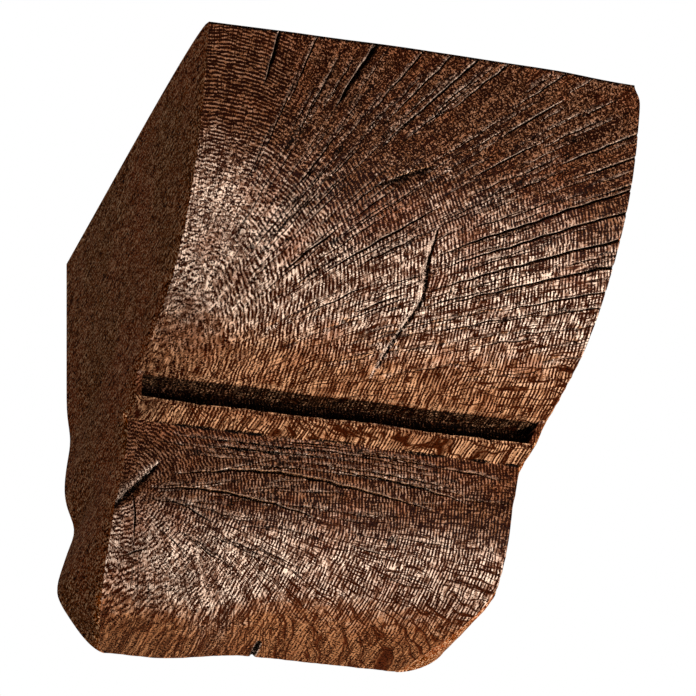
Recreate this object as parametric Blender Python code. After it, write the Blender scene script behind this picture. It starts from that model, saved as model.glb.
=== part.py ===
"""A timber corbel: the end of a squared beam, carved with an upper roll, a sunk groove,
a thin fillet and a lower roll. One solid, hewn, checked and chipped.

Units are metres, +Z is up. The flat back lies on the wall at Y = 0, the carved front
faces -Y, and the origin is the middle of the back. "Back" below is measured from the
front edge of the top towards the wall, and "drop" is measured down from the flat top.
"""
import math

import bpy
import bmesh
from mathutils import Vector, noise
from mathutils.geometry import delaunay_2d_cdt

# Overall block
WIDTH = 0.190
PROJECTION = 0.217

# Upper roll, from the top edge down to the lip over the groove
UPPER_BACK = 0.1055
UPPER_DROP = 0.108

# Sunk groove between the lip and the fillet
GROOVE_HEIGHT = 0.0100
GROOVE_DEPTH = 0.0110

# The groove stops this far short of each side, over a slope this wide, and only this share of
# its depth runs on to the side
GROOVE_STOP = 0.0026
STOP_SLOPE = 0.0008
STOP_SHARE = 0.06

# Thin fillet under the groove, and the flat soffit that runs in from its nose
NOSE_BACK = 0.0035
FILLET_THICKNESS = 0.0022
SOFFIT_DEPTH = 0.0135
SOFFIT_FALL = 0.0016

# Lower roll, from the soffit down and back to the wall
LOWER_DROP = 0.0602

# The rolls are cubic curves. Each handle is a share of its roll's own run back and drop.
UPPER_HANDLES = ((0.123, 0.417), (0.208, 0.796))
LOWER_HANDLES = ((0.122, 0.470), (0.143, 0.934))
ROLL_STEPS = 20

# The front is bowed a little in plan, most of all right of the middle of the top edge
BOW = 0.0027
BOW_AT = 0.60

# Hewn sides: the right one leans in, and both bottom arrises are rounded over. A power of 2
# would round them as a quarter ellipse, and less is flatter. The left one starts lower away
# from the wall, by this share of the distance.
RIGHT_LEAN = 0.016
RIGHT_LEAN_DROP = 0.137
RIGHT_ARRIS = (0.0245, 0.0150)
LEFT_ARRIS = (0.017, 0.024)
LEFT_ARRIS_LIFT = 0.15
ARRIS_POWER = 1.6

# The sides are left a little full behind the front, and the top right arris is worn
SIDE_FULLNESS = 0.0018
FULLNESS_FORWARD = 0.45
WORN_ARRIS = (0.0030, 0.0040)

# The underside hangs lower along its left third, where the timber was left full
FULL_DROP = 0.0057
FULL_FROM = 0.080
FULL_TO = 0.036

# Broad hewn waves, and the adze dents of each side as (drop, size, how far in). The left
# ones die out over this run from the wall, down to this share of their depth.
DENT_RUN = 0.075
DENT_REST = 0.3
WAVE_LENGTH = 0.034
WAVE_HEIGHT = 0.0007
LEFT_DENTS = ((0.131, 0.0085, 0.0034), (0.157, 0.011, -0.0042), (0.112, 0.010, -0.0009),
              (0.088, 0.010, 0.0016))
RIGHT_DENTS = ((0.098, 0.018, -0.0022), (0.122, 0.007, 0.0020))

# Drying checks of the upper roll run out from the heart of the timber, just under its lip.
# Each is (degrees above level, nearest, farthest, width), the last three in metres.
HEART_FROM_LEFT = 0.004
HEART_BELOW_LIP = 0.008
UPPER_CHECKS = (
    (59.6, 0.103, 0.132, 0.0026),
    (77.2, 0.097, 0.116, 0.0018),
    (45.8, 0.114, 0.158, 0.0012),
    (34.6, 0.150, 0.184, 0.0012),
    (31.2, 0.132, 0.168, 0.0011),
    (27.4, 0.168, 0.214, 0.0012),
    (25.0, 0.176, 0.212, 0.0012),
    (29.2, 0.066, 0.117, 0.0012),
    (37.4, 0.050, 0.078, 0.0012),
    (21.6, 0.112, 0.202, 0.0014),
    (19.4, 0.112, 0.200, 0.0013),
    (16.7, 0.108, 0.198, 0.0014),
    (14.2, 0.110, 0.196, 0.0014),
    (11.9, 0.140, 0.192, 0.0011),
    (17.6, 0.080, 0.102, 0.0012),
)

# The lower roll's checks bend, so each is a width and its points, as a distance from the
# left face and a distance below the soffit. The chip at the left arris is given the same way.
LOWER_CHECKS = (
    (0.0016, (0.023, 0.0182), (0.060, 0.0144), (0.105, 0.0176), (0.138, 0.0222)),
    (0.0013, (0.013, 0.0242), (0.043, 0.0230), (0.090, 0.0304)),
    (0.0012, (0.090, 0.0109), (0.125, 0.0132), (0.156, 0.0184)),
)
CHIP = (0.0052, (0.0155, 0.0155), (0.0078, 0.0236), (-0.004, 0.0336))

# A torn scar across the upper roll and a shallow gouge above it, from the left and the top
SCAR = (0.0038, (0.107, 0.066), (0.106, 0.076), (0.108, 0.087), (0.103, 0.095), (0.098, 0.104))
GOUGE = (0.0050, (0.076, 0.055), (0.086, 0.051), (0.101, 0.0445))

# A check that ends this close to the top edge stays wide there
NEAR_EDGE = 0.0035

# Depths as shares of the widths, how far a cutter stands proud, and the spacing of its rings
CHECK_DEPTH_SHARE = 1.5
SCAR_DEPTH_SHARE = 0.42
CUTTER_PROUD = 0.0015
CHECK_STEP = 0.008

# Mesh fineness
ACROSS_STEPS = 40
SIDE_STEP = 0.011


def smooth(t):
    """Eases from 0 to 1 as t goes from 0 to 1."""
    t = min(1.0, max(0.0, t))
    return t * t * (3.0 - 2.0 * t)


def roll_curve(start, end, handles):
    """Points of a roll from one (back, drop) corner to the next."""
    run, fall = end[0] - start[0], end[1] - start[1]
    controls = [start]
    controls += [(start[0] + run * back, start[1] + fall * down) for back, down in handles]
    controls.append(end)
    weights = (1, 3, 3, 1)
    points = []
    for step in range(ROLL_STEPS + 1):
        t = step / ROLL_STEPS
        shares = [w * t ** k * (1 - t) ** (3 - k) for k, w in enumerate(weights)]
        points.append(tuple(sum(s * c[axis] for s, c in zip(shares, controls)) for axis in (0, 1)))
    return points


def profile():
    """The carved outline as (back, drop) pairs, from the top front edge to the wall."""
    lip = (UPPER_BACK, UPPER_DROP)
    groove_top = (UPPER_BACK + GROOVE_DEPTH, UPPER_DROP + 0.1 * GROOVE_HEIGHT)
    groove_foot = (UPPER_BACK + GROOVE_DEPTH, UPPER_DROP + GROOVE_HEIGHT)
    nose_top = (UPPER_BACK + NOSE_BACK, UPPER_DROP + GROOVE_HEIGHT)
    nose_foot = (nose_top[0], nose_top[1] + FILLET_THICKNESS)
    soffit = (nose_foot[0] + SOFFIT_DEPTH, nose_foot[1] + SOFFIT_FALL)
    wall = (PROJECTION, soffit[1] + LOWER_DROP)
    upper = roll_curve((0.0, 0.0), lip, UPPER_HANDLES)
    lower = roll_curve(soffit, wall, LOWER_HANDLES)
    return upper + [groove_top, groove_foot, nose_top, nose_foot] + lower


def stopped(place, share):
    """A place in the groove, brought forward to leave this share of the groove's depth."""
    back, drop = place
    flush = UPPER_BACK + NOSE_BACK * (drop - UPPER_DROP) / GROOVE_HEIGHT
    return flush + (back - flush) * share, drop


OUTLINE = profile()
IN_GROOVE = (ROLL_STEPS + 1, ROLL_STEPS + 2)
SIDE_OUTLINE = [stopped(p, STOP_SHARE) if i in IN_GROOVE else p for i, p in enumerate(OUTLINE)]
HEIGHT = OUTLINE[-1][1]
SOFFIT_DROP = OUTLINE[-1 - ROLL_STEPS][1]


def arris(drop, size):
    """How far a rounded bottom arris has turned in at this drop."""
    inward, up = size
    t = min(1.0, max(0.0, (drop - (HEIGHT - up)) / up))
    return inward * (1.0 - (1.0 - t ** ARRIS_POWER) ** (1.0 / ARRIS_POWER))


def dented(drop, dents):
    return sum(depth * math.exp(-((drop - at) / size) ** 2) for at, size, depth in dents)


def left_inset(back, drop):
    ahead = PROJECTION - back
    share = DENT_REST + (1.0 - DENT_REST) * smooth(1.0 - ahead / DENT_RUN)
    return arris(drop - LEFT_ARRIS_LIFT * ahead, LEFT_ARRIS) + share * dented(drop, LEFT_DENTS)


def right_inset(drop):
    lean = RIGHT_LEAN * min(1.0, drop / RIGHT_LEAN_DROP) ** 2
    worn = WORN_ARRIS[0] * math.exp(-(drop / WORN_ARRIS[1]) ** 2)
    return lean + worn + arris(drop, RIGHT_ARRIS) + dented(drop, RIGHT_DENTS)


def wave(x, back, drop, seed):
    """Low hewn waves, the same on every run."""
    return WAVE_HEIGHT * noise.noise(Vector((x, back, drop)) / WAVE_LENGTH + Vector((seed, 0, 0)))


def hang(across, drop):
    """How much lower the full left third of the underside hangs."""
    foot = smooth((drop - SOFFIT_DROP) / (HEIGHT - SOFFIT_DROP))
    return FULL_DROP * foot * smooth((FULL_FROM - across) / (FULL_FROM - FULL_TO))


def front_point(share, index):
    """A point of the carved front: share runs from 0 at the left to 1 at the right."""
    at_end = min(share, 1.0 - share) * WIDTH < GROOVE_STOP + STOP_SLOPE / 2
    back, drop = SIDE_OUTLINE[index] if at_end else OUTLINE[index]
    left, right = left_inset(back, drop), WIDTH - right_inset(drop)
    across = left + (right - left) * share
    at_wall = index == len(OUTLINE) - 1
    fade = 1.0 - smooth(drop / UPPER_DROP)
    spread = 1.0 - ((share - BOW_AT) / max(BOW_AT, 1.0 - BOW_AT)) ** 2
    bow = BOW * fade * spread * smooth(min(share / 0.2, (1.0 - share) / 0.2, 1.0))
    swell = 0.0 if at_wall else wave(across, back, drop, 3.0) + bow
    fall = drop + hang(across, drop)
    if index:
        fall += wave(across, back, drop, 11.0) * smooth(drop / 0.02)
    return Vector((across - WIDTH / 2, back - swell - PROJECTION, HEIGHT / 2 - fall))


def place_on_roll(first, drop):
    """The outline place, as a fractional index, where the roll from index first has a drop."""
    index = first
    while index < first + ROLL_STEPS - 1 and OUTLINE[index + 1][1] < drop:
        index += 1
    low, high = OUTLINE[index][1], OUTLINE[index + 1][1]
    return index + (drop - low) / (high - low)


def on_roll(first, across, drop):
    """The point of a roll's surface at a distance from the left face and a drop."""
    place = place_on_roll(first, drop)
    index = min(max(int(place), first), first + ROLL_STEPS - 1)
    back, behind = OUTLINE[index][0], OUTLINE[index + 1][0]
    left = left_inset(back + (behind - back) * (place - index), drop)
    share = (across - left) / (WIDTH - right_inset(drop) - left)
    return front_point(share, index).lerp(front_point(share, index + 1), place - index)


def facing(first, across, drop):
    """The way a roll's surface faces there."""
    step = 0.002
    over = on_roll(first, across + step, drop) - on_roll(first, across - step, drop)
    down = on_roll(first, across, drop + step) - on_roll(first, across, drop - step)
    return down.cross(over).normalized()


def front_back(drop):
    """How far back a side's outline has come at a drop."""
    return max(back for back, down in SIDE_OUTLINE[:-1] if down <= drop + 1e-9)


def side_across(side, back, drop):
    return left_inset(back, drop) if side < 0 else WIDTH - right_inset(drop)


def side_point(side, back, drop):
    """A point of a hewn side: side is -1 at the left and 1 at the right."""
    across = side_across(side, back, drop)
    front = front_back(drop)
    along = max(0.0, (back - front) / (PROJECTION - front))
    full = SIDE_FULLNESS * math.sin(math.pi * along ** FULLNESS_FORWARD)
    fall = drop + hang(across, drop)
    return Vector((across + side * full - WIDTH / 2, back - PROJECTION, HEIGHT / 2 - fall))


class Shell:
    """Collects faces whose corners are shared wherever they meet."""

    def __init__(self):
        self.mesh = bmesh.new()
        self.corners = {}

    def corner(self, point):
        key = tuple(round(value, 7) for value in point)
        if key not in self.corners:
            self.corners[key] = self.mesh.verts.new(point)
        return self.corners[key]

    def face(self, points):
        ring = []
        for point in points:
            vert = self.corner(point)
            if vert not in ring:
                ring.append(vert)
        if len(ring) > 2:
            self.mesh.faces.new(ring)


def front_shares():
    """Shares of the width for the front's columns, with two more where each groove end stops."""
    ends = [GROOVE_STOP / WIDTH, (GROOVE_STOP + STOP_SLOPE) / WIDTH]
    inner = [step / ACROSS_STEPS for step in range(1, ACROSS_STEPS)]
    return [0.0, *ends, *inner, *(1.0 - end for end in ends[::-1]), 1.0]


def add_front(shell):
    """The carved front, as a grid from the top edge to the wall."""
    shares = front_shares()
    rows = [[front_point(share, index) for share in shares] for index in range(len(OUTLINE))]
    for upper, lower in zip(rows, rows[1:]):
        for step in range(len(shares) - 1):
            shell.face((upper[step], lower[step], lower[step + 1], upper[step + 1]))
    return rows


def side_rows():
    """Drops of the side's rows, from the top down, closer together over the arris."""
    count = round(HEIGHT / SIDE_STEP) + 4
    return [HEIGHT * (1.0 - (1.0 - row / count) ** 1.8) for row in range(count)]


def wall_drops():
    return side_rows()[::-1]


def top_backs():
    count = round(PROJECTION / SIDE_STEP)
    return [PROJECTION * (1.0 - step / count) for step in range(1, count)]


def add_side(shell, side, front_column):
    """One hewn side: its outline is filled with evenly spaced points, then triangulated."""
    ring = [(Vector(pair), point) for pair, point in zip(SIDE_OUTLINE, front_column)]
    for drop in wall_drops():
        ring.append((Vector((PROJECTION, drop)), side_point(side, PROJECTION, drop)))
    for back in top_backs():
        ring.append((Vector((back, 0.0)), side_point(side, back, 0.0)))
    flat = [pair for pair, _ in ring]
    placed = [point for _, point in ring]
    for drop in side_rows()[1:]:
        for step in range(1, round(PROJECTION / SIDE_STEP)):
            spot = Vector((PROJECTION - step * SIDE_STEP, drop))
            if inside(spot, flat[:len(ring)]):
                flat.append(spot)
                placed.append(side_point(side, *spot))
    found = delaunay_2d_cdt(flat, [], [list(range(len(ring)))], 1, 1e-7)
    for triangle in found[2]:
        shell.face([placed[found[3][corner][0]] for corner in triangle])


def inside(spot, ring):
    """True where a spot lies in a ring and well clear of its edge."""
    crossings = 0
    for start, end in zip(ring, ring[1:] + ring[:1]):
        run = end - start
        along = max(0.0, min(1.0, (spot - start).dot(run) / run.length_squared))
        if (start + run * along - spot).length < 0.3 * SIDE_STEP:
            return False
        if (start.y > spot.y) != (end.y > spot.y):
            crossings += spot.x < start.x + run.x * (spot.y - start.y) / run.y
    return crossings % 2 == 1


def add_flats(shell, rows):
    """The flat top and the flat back, each one level face."""
    left_top = [side_point(-1, back, 0.0) for back in top_backs()]
    right_top = [side_point(1, back, 0.0) for back in top_backs()]
    wall_top = [side_point(-1, PROJECTION, 0.0), side_point(1, PROJECTION, 0.0)]
    shell.face(rows[0] + right_top[::-1] + wall_top[::-1] + left_top)
    left_wall = [side_point(-1, PROJECTION, drop) for drop in wall_drops()]
    right_wall = [side_point(1, PROJECTION, drop) for drop in wall_drops()]
    shell.face(rows[-1] + right_wall + left_wall[::-1])


def block():
    """The whole hewn block as one closed mesh."""
    shell = Shell()
    rows = add_front(shell)
    add_side(shell, -1, [row[0] for row in rows])
    add_side(shell, 1, [row[-1] for row in rows])
    add_flats(shell, rows)
    bmesh.ops.recalc_face_normals(shell.mesh, faces=shell.mesh.faces)
    bmesh.ops.triangulate(shell.mesh, faces=shell.mesh.faces)
    return shell.mesh


def arc_points(points):
    """A smooth run of evenly spaced (from the left, drop) points through the given ones."""
    marks = [Vector(point) for point in points]
    run = [marks[0]]
    for index, (start, end) in enumerate(zip(marks, marks[1:])):
        before = marks[max(index - 1, 0)]
        after = marks[min(index + 2, len(marks) - 1)]
        count = max(1, round((end - start).length / CHECK_STEP))
        for step in range(1, count + 1):
            t = step / count
            leave, arrive = (end - before) / 2, (after - start) / 2
            curve = start * (2 * t ** 3 - 3 * t ** 2 + 1) + end * (3 * t ** 2 - 2 * t ** 3)
            run.append(curve + leave * (t ** 3 - 2 * t ** 2 + t) + arrive * (t ** 3 - t ** 2))
    return run


def ray_points(degrees, nearest, farthest):
    """Evenly spaced points of a straight check that runs out from the upper heart."""
    angle = math.radians(degrees)
    away = Vector((math.cos(angle), -math.sin(angle)))
    count = round((farthest - nearest) / CHECK_STEP)
    reach = [nearest + (farthest - nearest) * step / count for step in range(count + 1)]
    heart = Vector((HEART_FROM_LEFT, UPPER_DROP + HEART_BELOW_LIP))
    return [heart + away * distance for distance in reach]


def groove_cutter(mesh, first, points, width, depth, open_end=False):
    """A V-shaped cutter along points of a roll, thin at its ends and standing proud."""
    last = len(points) - 1
    rings = []
    for index, spot in enumerate(points):
        out = facing(first, *spot)
        ahead = points[min(index + 1, last)]
        behind = points[max(index - 1, 0)]
        along = (on_roll(first, *ahead) - on_roll(first, *behind)).normalized()
        aside = out.cross(along).normalized()
        share = math.sin(math.pi * (index + 0.35) / (last + 0.7))
        if open_end and index > last / 2:
            share = 1.0
        foot = on_roll(first, *spot)
        half = width / 2 * share * (1 + CUTTER_PROUD / (depth * share))
        rim = foot + out * CUTTER_PROUD
        ring = (rim + aside * half, rim - aside * half, foot - out * depth * share)
        rings.append([mesh.verts.new(point) for point in ring])
    for near, far in zip(rings, rings[1:]):
        for corner in range(3):
            after = (corner + 1) % 3
            mesh.faces.new((near[corner], near[after], far[after], far[corner]))
    mesh.faces.new(rings[0])
    mesh.faces.new(rings[-1])


def below_soffit(points):
    return [(across, SOFFIT_DROP + below) for across, below in points]


def cutters():
    """The checks, scar, gouge and chip, each as a closed wedge."""
    upper, lower = 0, len(OUTLINE) - 1 - ROLL_STEPS
    wedges = []
    for degrees, nearest, farthest, width in UPPER_CHECKS:
        points = ray_points(degrees, nearest, farthest)
        runs_out = on_edge(points[-1])
        wedges.append((upper, points, width, width * CHECK_DEPTH_SHARE, runs_out))
    for width, *points in LOWER_CHECKS:
        path = arc_points(below_soffit(points))
        wedges.append((lower, path, width, width * CHECK_DEPTH_SHARE, False))
    for width, *points in (SCAR, GOUGE):
        wedges.append((upper, arc_points(points), width, width * SCAR_DEPTH_SHARE, False))
    width, *points = CHIP
    path = arc_points(below_soffit(points))
    wedges.append((lower, path, width, width * SCAR_DEPTH_SHARE, True))
    pieces = []
    for first, points, width, depth, runs_out in wedges:
        mesh = bmesh.new()
        groove_cutter(mesh, first, points, width, depth, runs_out)
        bmesh.ops.recalc_face_normals(mesh, faces=mesh.faces)
        pieces.append(place("check_cutter", mesh))
    return pieces


def on_edge(spot):
    """True where a check runs up to the top edge or out over the right arris."""
    return spot.y < NEAR_EDGE or spot.x > WIDTH - right_inset(spot.y)


def cut(piece, tools):
    """Takes each tool out of the piece with an exact boolean."""
    for tool in tools:
        tool.hide_render = True
        tool.display_type = "WIRE"
        modifier = piece.modifiers.new("check", "BOOLEAN")
        modifier.operation = "DIFFERENCE"
        modifier.solver = "EXACT"
        modifier.object = tool


def stained_timber():
    """Dark brown stain on softwood, low in gloss."""
    material = bpy.data.materials.new("stained_timber")
    material.use_nodes = True
    shader = material.node_tree.nodes["Principled BSDF"]
    shader.inputs["Base Color"].default_value = (0.095, 0.042, 0.021, 1.0)
    shader.inputs["Roughness"].default_value = 0.6
    shader.inputs["Metallic"].default_value = 0.0
    return material


def place(name, mesh, material=None):
    """Puts a finished mesh into the scene as a named object."""
    data = bpy.data.meshes.new(name)
    mesh.to_mesh(data)
    mesh.free()
    piece = bpy.data.objects.new(name, data)
    bpy.context.scene.collection.objects.link(piece)
    if material:
        data.materials.append(material)
    return piece


def main():
    for old in list(bpy.data.objects):
        bpy.data.objects.remove(old, do_unlink=True)
    corbel = place("corbel", block(), stained_timber())
    cut(corbel, cutters())
    corbel.data.shade_smooth()
    corbel.data.set_sharp_from_angle(angle=math.radians(30))


main()
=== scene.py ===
# %% [markdown]
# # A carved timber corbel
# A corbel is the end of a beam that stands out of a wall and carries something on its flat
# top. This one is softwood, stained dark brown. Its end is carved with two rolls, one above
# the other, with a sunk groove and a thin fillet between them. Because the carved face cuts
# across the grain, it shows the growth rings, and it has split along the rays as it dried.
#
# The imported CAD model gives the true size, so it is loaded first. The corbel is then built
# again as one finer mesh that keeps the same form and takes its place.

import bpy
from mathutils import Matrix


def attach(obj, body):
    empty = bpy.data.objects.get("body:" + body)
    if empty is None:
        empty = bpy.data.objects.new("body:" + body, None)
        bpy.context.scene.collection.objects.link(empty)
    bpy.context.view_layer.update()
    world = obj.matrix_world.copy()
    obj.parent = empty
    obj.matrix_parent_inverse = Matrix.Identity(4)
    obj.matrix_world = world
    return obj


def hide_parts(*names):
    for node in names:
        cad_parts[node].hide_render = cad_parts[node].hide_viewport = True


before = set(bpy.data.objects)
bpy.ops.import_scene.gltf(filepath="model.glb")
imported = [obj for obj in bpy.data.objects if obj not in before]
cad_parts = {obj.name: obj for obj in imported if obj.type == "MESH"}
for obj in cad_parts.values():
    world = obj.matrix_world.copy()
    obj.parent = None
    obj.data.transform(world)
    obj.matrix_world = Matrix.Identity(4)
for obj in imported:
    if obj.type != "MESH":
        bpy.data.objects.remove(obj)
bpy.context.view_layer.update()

# %% Tools
import math

import bpy
import bmesh
import numpy as np
from mathutils import Matrix, Vector, noise
from mathutils.geometry import delaunay_2d_cdt

# %% [markdown]
# ## The carved outline
# Every length is in metres. "Back" is measured from the front edge of the top towards the
# wall, "across" from the left face, and "drop" down from the flat top. The sizes are those
# of the CAD source. Each roll is one cubic curve, as a carver's template would be, and the
# outline is kept with its length along the curve, so that the front can be treated as a
# sheet that is wrapped over it.

# %% Sizes of the block and its outline
WIDTH = 0.190
PROJECTION = 0.217
UPPER_BACK = 0.1055
UPPER_DROP = 0.108
GROOVE_HEIGHT = 0.0100
GROOVE_DEPTH = 0.0110
GROOVE_STOP = 0.0026
STOP_SLOPE = 0.0008
STOP_SHARE = 0.06
NOSE_BACK = 0.0035
FILLET_THICKNESS = 0.0022
SOFFIT_DEPTH = 0.0135
SOFFIT_FALL = 0.0016
LOWER_DROP = 0.0602
UPPER_HANDLES = ((0.123, 0.417), (0.208, 0.796))
LOWER_HANDLES = ((0.122, 0.470), (0.143, 0.934))
ROLL_STEPS = 90
print("block, mm:", 1000 * WIDTH, "wide and", 1000 * PROJECTION, "deep")

# %% The outline
def roll_curve(start, end, handles):
    """Points of a roll from one (back, drop) corner to the next."""
    run, fall = end[0] - start[0], end[1] - start[1]
    controls = [start] + [(start[0] + run * b, start[1] + fall * d) for b, d in handles] + [end]
    t = np.linspace(0, 1, ROLL_STEPS + 1)[:, None]
    weights = (1, 3, 3, 1)
    pulls = enumerate(zip(weights, controls))
    return sum(w * t ** k * (1 - t) ** (3 - k) * np.array(c) for k, (w, c) in pulls)


def profile():
    """The carved outline as (back, drop) rows, from the top front edge to the wall."""
    lip = (UPPER_BACK, UPPER_DROP)
    groove_top = (UPPER_BACK + GROOVE_DEPTH, UPPER_DROP + 0.1 * GROOVE_HEIGHT)
    groove_foot = (UPPER_BACK + GROOVE_DEPTH, UPPER_DROP + GROOVE_HEIGHT)
    nose_top = (UPPER_BACK + NOSE_BACK, UPPER_DROP + GROOVE_HEIGHT)
    nose_foot = (nose_top[0], nose_top[1] + FILLET_THICKNESS)
    soffit = (nose_foot[0] + SOFFIT_DEPTH, nose_foot[1] + SOFFIT_FALL)
    wall = (PROJECTION, soffit[1] + LOWER_DROP)
    upper = roll_curve((0.0, 0.0), lip, UPPER_HANDLES)
    lower = roll_curve(soffit, wall, LOWER_HANDLES)
    return np.vstack([upper, [groove_top, groove_foot, nose_top, nose_foot], lower])


def stopped(back, drop, share):
    """Brings places in the groove forward, to leave this share of the groove's depth."""
    flush = UPPER_BACK + NOSE_BACK * (drop - UPPER_DROP) / GROOVE_HEIGHT
    sunk = (drop >= UPPER_DROP) & (drop <= UPPER_DROP + GROOVE_HEIGHT + 1e-9) & (back > flush)
    return np.where(sunk, flush + (back - flush) * share, back)


def groove_share(share):
    """How much of the groove's depth is cut: a thin wall is left at each side."""
    inward = np.minimum(share, 1.0 - share) * WIDTH
    return STOP_SHARE + (1.0 - STOP_SHARE) * np.clip((inward - GROOVE_STOP) / STOP_SLOPE, 0.0, 1.0)


OUTLINE = profile()
SIDE_OUTLINE = np.stack([stopped(*OUTLINE.T, STOP_SHARE), OUTLINE[:, 1]], 1)
ARC = np.concatenate([[0.0], np.cumsum(np.hypot(*np.diff(OUTLINE, axis=0).T))])
HEIGHT = OUTLINE[-1, 1]
UPPER_ROLL = slice(0, ROLL_STEPS + 1)
LOWER_ROLL = slice(ROLL_STEPS + 5, None)
LIP, GROOVE_TOP, GROOVE_FOOT, NOSE_TOP, NOSE_FOOT, SOFFIT = ARC[ROLL_STEPS:ROLL_STEPS + 6]
SOFFIT_DROP = OUTLINE[LOWER_ROLL][0, 1]
print("length over the carving, mm:", round(1000 * ARC[-1], 1))

# %% [markdown]
# ## How the hewn block differs from a true one
# The block was squared with an adze, so it bows, leans and hangs a little, and its bottom
# arrises, the long edges, are rounded over. These are the same small functions that the CAD
# source uses, written for whole arrays of points at once because the fine mesh has many.

# %% Sizes of the hewing
BOW = 0.0027
BOW_AT = 0.60
RIGHT_LEAN = 0.016
RIGHT_LEAN_DROP = 0.137
RIGHT_ARRIS = (0.0245, 0.0150)
LEFT_ARRIS = (0.017, 0.024)
LEFT_ARRIS_LIFT = 0.15
ARRIS_POWER = 1.6
SIDE_FULLNESS = 0.0018
FULLNESS_FORWARD = 0.45
WORN_ARRIS = (0.0030, 0.0040)
FULL_DROP = 0.0057
FULL_FROM = 0.080
FULL_TO = 0.036
DENT_RUN = 0.075
DENT_REST = 0.3
BOW_FADE = 0.2
WAVE_LENGTH = 0.034
WAVE_HEIGHT = 0.0007
WAVE_FROM_TOP = 0.02
WAVE_FROM_WALL = 0.006
LEFT_DENTS = ((0.131, 0.0085, 0.0034), (0.157, 0.011, -0.0042), (0.112, 0.010, -0.0009),
              (0.088, 0.010, 0.0016))
RIGHT_DENTS = ((0.098, 0.018, -0.0022), (0.122, 0.007, 0.0020))
print("dents along the sides:", len(LEFT_DENTS), "left and", len(RIGHT_DENTS), "right")


# %% The hewn surfaces
def smooth(t):
    """Eases from 0 to 1 as t goes from 0 to 1."""
    t = np.clip(t, 0.0, 1.0)
    return t * t * (3.0 - 2.0 * t)


def arris(drop, size):
    """How far a rounded bottom arris has turned in at this drop."""
    inward, up = size
    t = np.clip((drop - (HEIGHT - up)) / up, 0.0, 1.0)
    return inward * (1.0 - (1.0 - t ** ARRIS_POWER) ** (1.0 / ARRIS_POWER))


def dented(drop, dents):
    """Hollows and swellings down a side, each with its drop, its size and its depth."""
    return sum(depth * np.exp(-((drop - at) / size) ** 2) for at, size, depth in dents)


def left_inset(back, drop):
    """How far in from a true block the left side lies. Its dents fade towards the wall."""
    ahead = PROJECTION - back
    share = DENT_REST + (1.0 - DENT_REST) * smooth(1.0 - ahead / DENT_RUN)
    return arris(drop - LEFT_ARRIS_LIFT * ahead, LEFT_ARRIS) + share * dented(drop, LEFT_DENTS)


def right_inset(drop):
    """How far in the right side lies, with its lean, its dents and its worn top arris."""
    lean = RIGHT_LEAN * np.clip(drop / RIGHT_LEAN_DROP, 0.0, 1.0) ** 2
    lit_pale_share = WORN_ARRIS[0] * np.exp(-(drop / WORN_ARRIS[1]) ** 2)
    return lean + lit_pale_share + arris(drop, RIGHT_ARRIS) + dented(drop, RIGHT_DENTS)


def hang(across, drop):
    """How much lower the full left third of the underside hangs."""
    foot = smooth((drop - SOFFIT_DROP) / (HEIGHT - SOFFIT_DROP))
    return FULL_DROP * foot * smooth((FULL_FROM - across) / (FULL_FROM - FULL_TO))


print("the left bottom arris turns in, mm:", 1000 * arris(HEIGHT, LEFT_ARRIS))


# %% The hewn front
def ripple(spots, size, seed):
    """Smooth noise from -1 to 1 over rows of three coordinates, with waves of this size."""
    placed = np.asarray(spots) / size + np.array([seed, 0.0, 0.0])
    return np.array([noise.noise(spot) for spot in placed])


def front(share, arc):
    """Points of the carved front: share is 0 at the left and 1 at the right."""
    drop = np.interp(arc, ARC, OUTLINE[:, 1])
    back = stopped(np.interp(arc, ARC, OUTLINE[:, 0]), drop, groove_share(share))
    left = left_inset(back, drop)
    across = left + (WIDTH - right_inset(drop) - left) * share
    spots = np.stack([across, back, drop], 1)
    spread = 1.0 - ((share - BOW_AT) / BOW_AT) ** 2
    inner = smooth(np.minimum(share, 1.0 - share) / BOW_FADE)
    bow = BOW * (1.0 - smooth(drop / UPPER_DROP)) * spread * inner
    swell = WAVE_HEIGHT * ripple(spots, WAVE_LENGTH, 3.0) + bow
    swell = swell * smooth((ARC[-1] - arc) / WAVE_FROM_WALL)
    wave = WAVE_HEIGHT * ripple(spots, WAVE_LENGTH, 11.0) * smooth(drop / WAVE_FROM_TOP)
    fall = drop + hang(across, drop) + wave
    return np.stack([across - WIDTH / 2, back - swell - PROJECTION, HEIGHT / 2 - fall], 1)


print("middle of the lip, mm:", (1000 * front(np.array([0.5]), np.array([LIP]))[0]).round(1).tolist())


# %% The hewn sides
def front_back(drop):
    """How far back a side's outline has come at each drop."""
    reach = np.maximum.accumulate(SIDE_OUTLINE[:-1, 0])
    falls = OUTLINE[:-1, 1]
    return np.array([reach[falls <= value + 1e-9].max() for value in np.atleast_1d(drop)])


def side(which, back, drop):
    """Points of a hewn side: which is -1 at the left and 1 at the right."""
    across = left_inset(back, drop) if which < 0 else WIDTH - right_inset(drop)
    start = front_back(drop)
    along = np.clip((back - start) / (PROJECTION - start), 0.0, 1.0)
    full = SIDE_FULLNESS * np.sin(np.pi * along ** FULLNESS_FORWARD)
    fall = drop + hang(across, drop)
    return np.stack([across + which * full - WIDTH / 2, back - PROJECTION, HEIGHT / 2 - fall], 1)


print("height at the wall, mm:", round(1000 * HEIGHT, 1))
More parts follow.
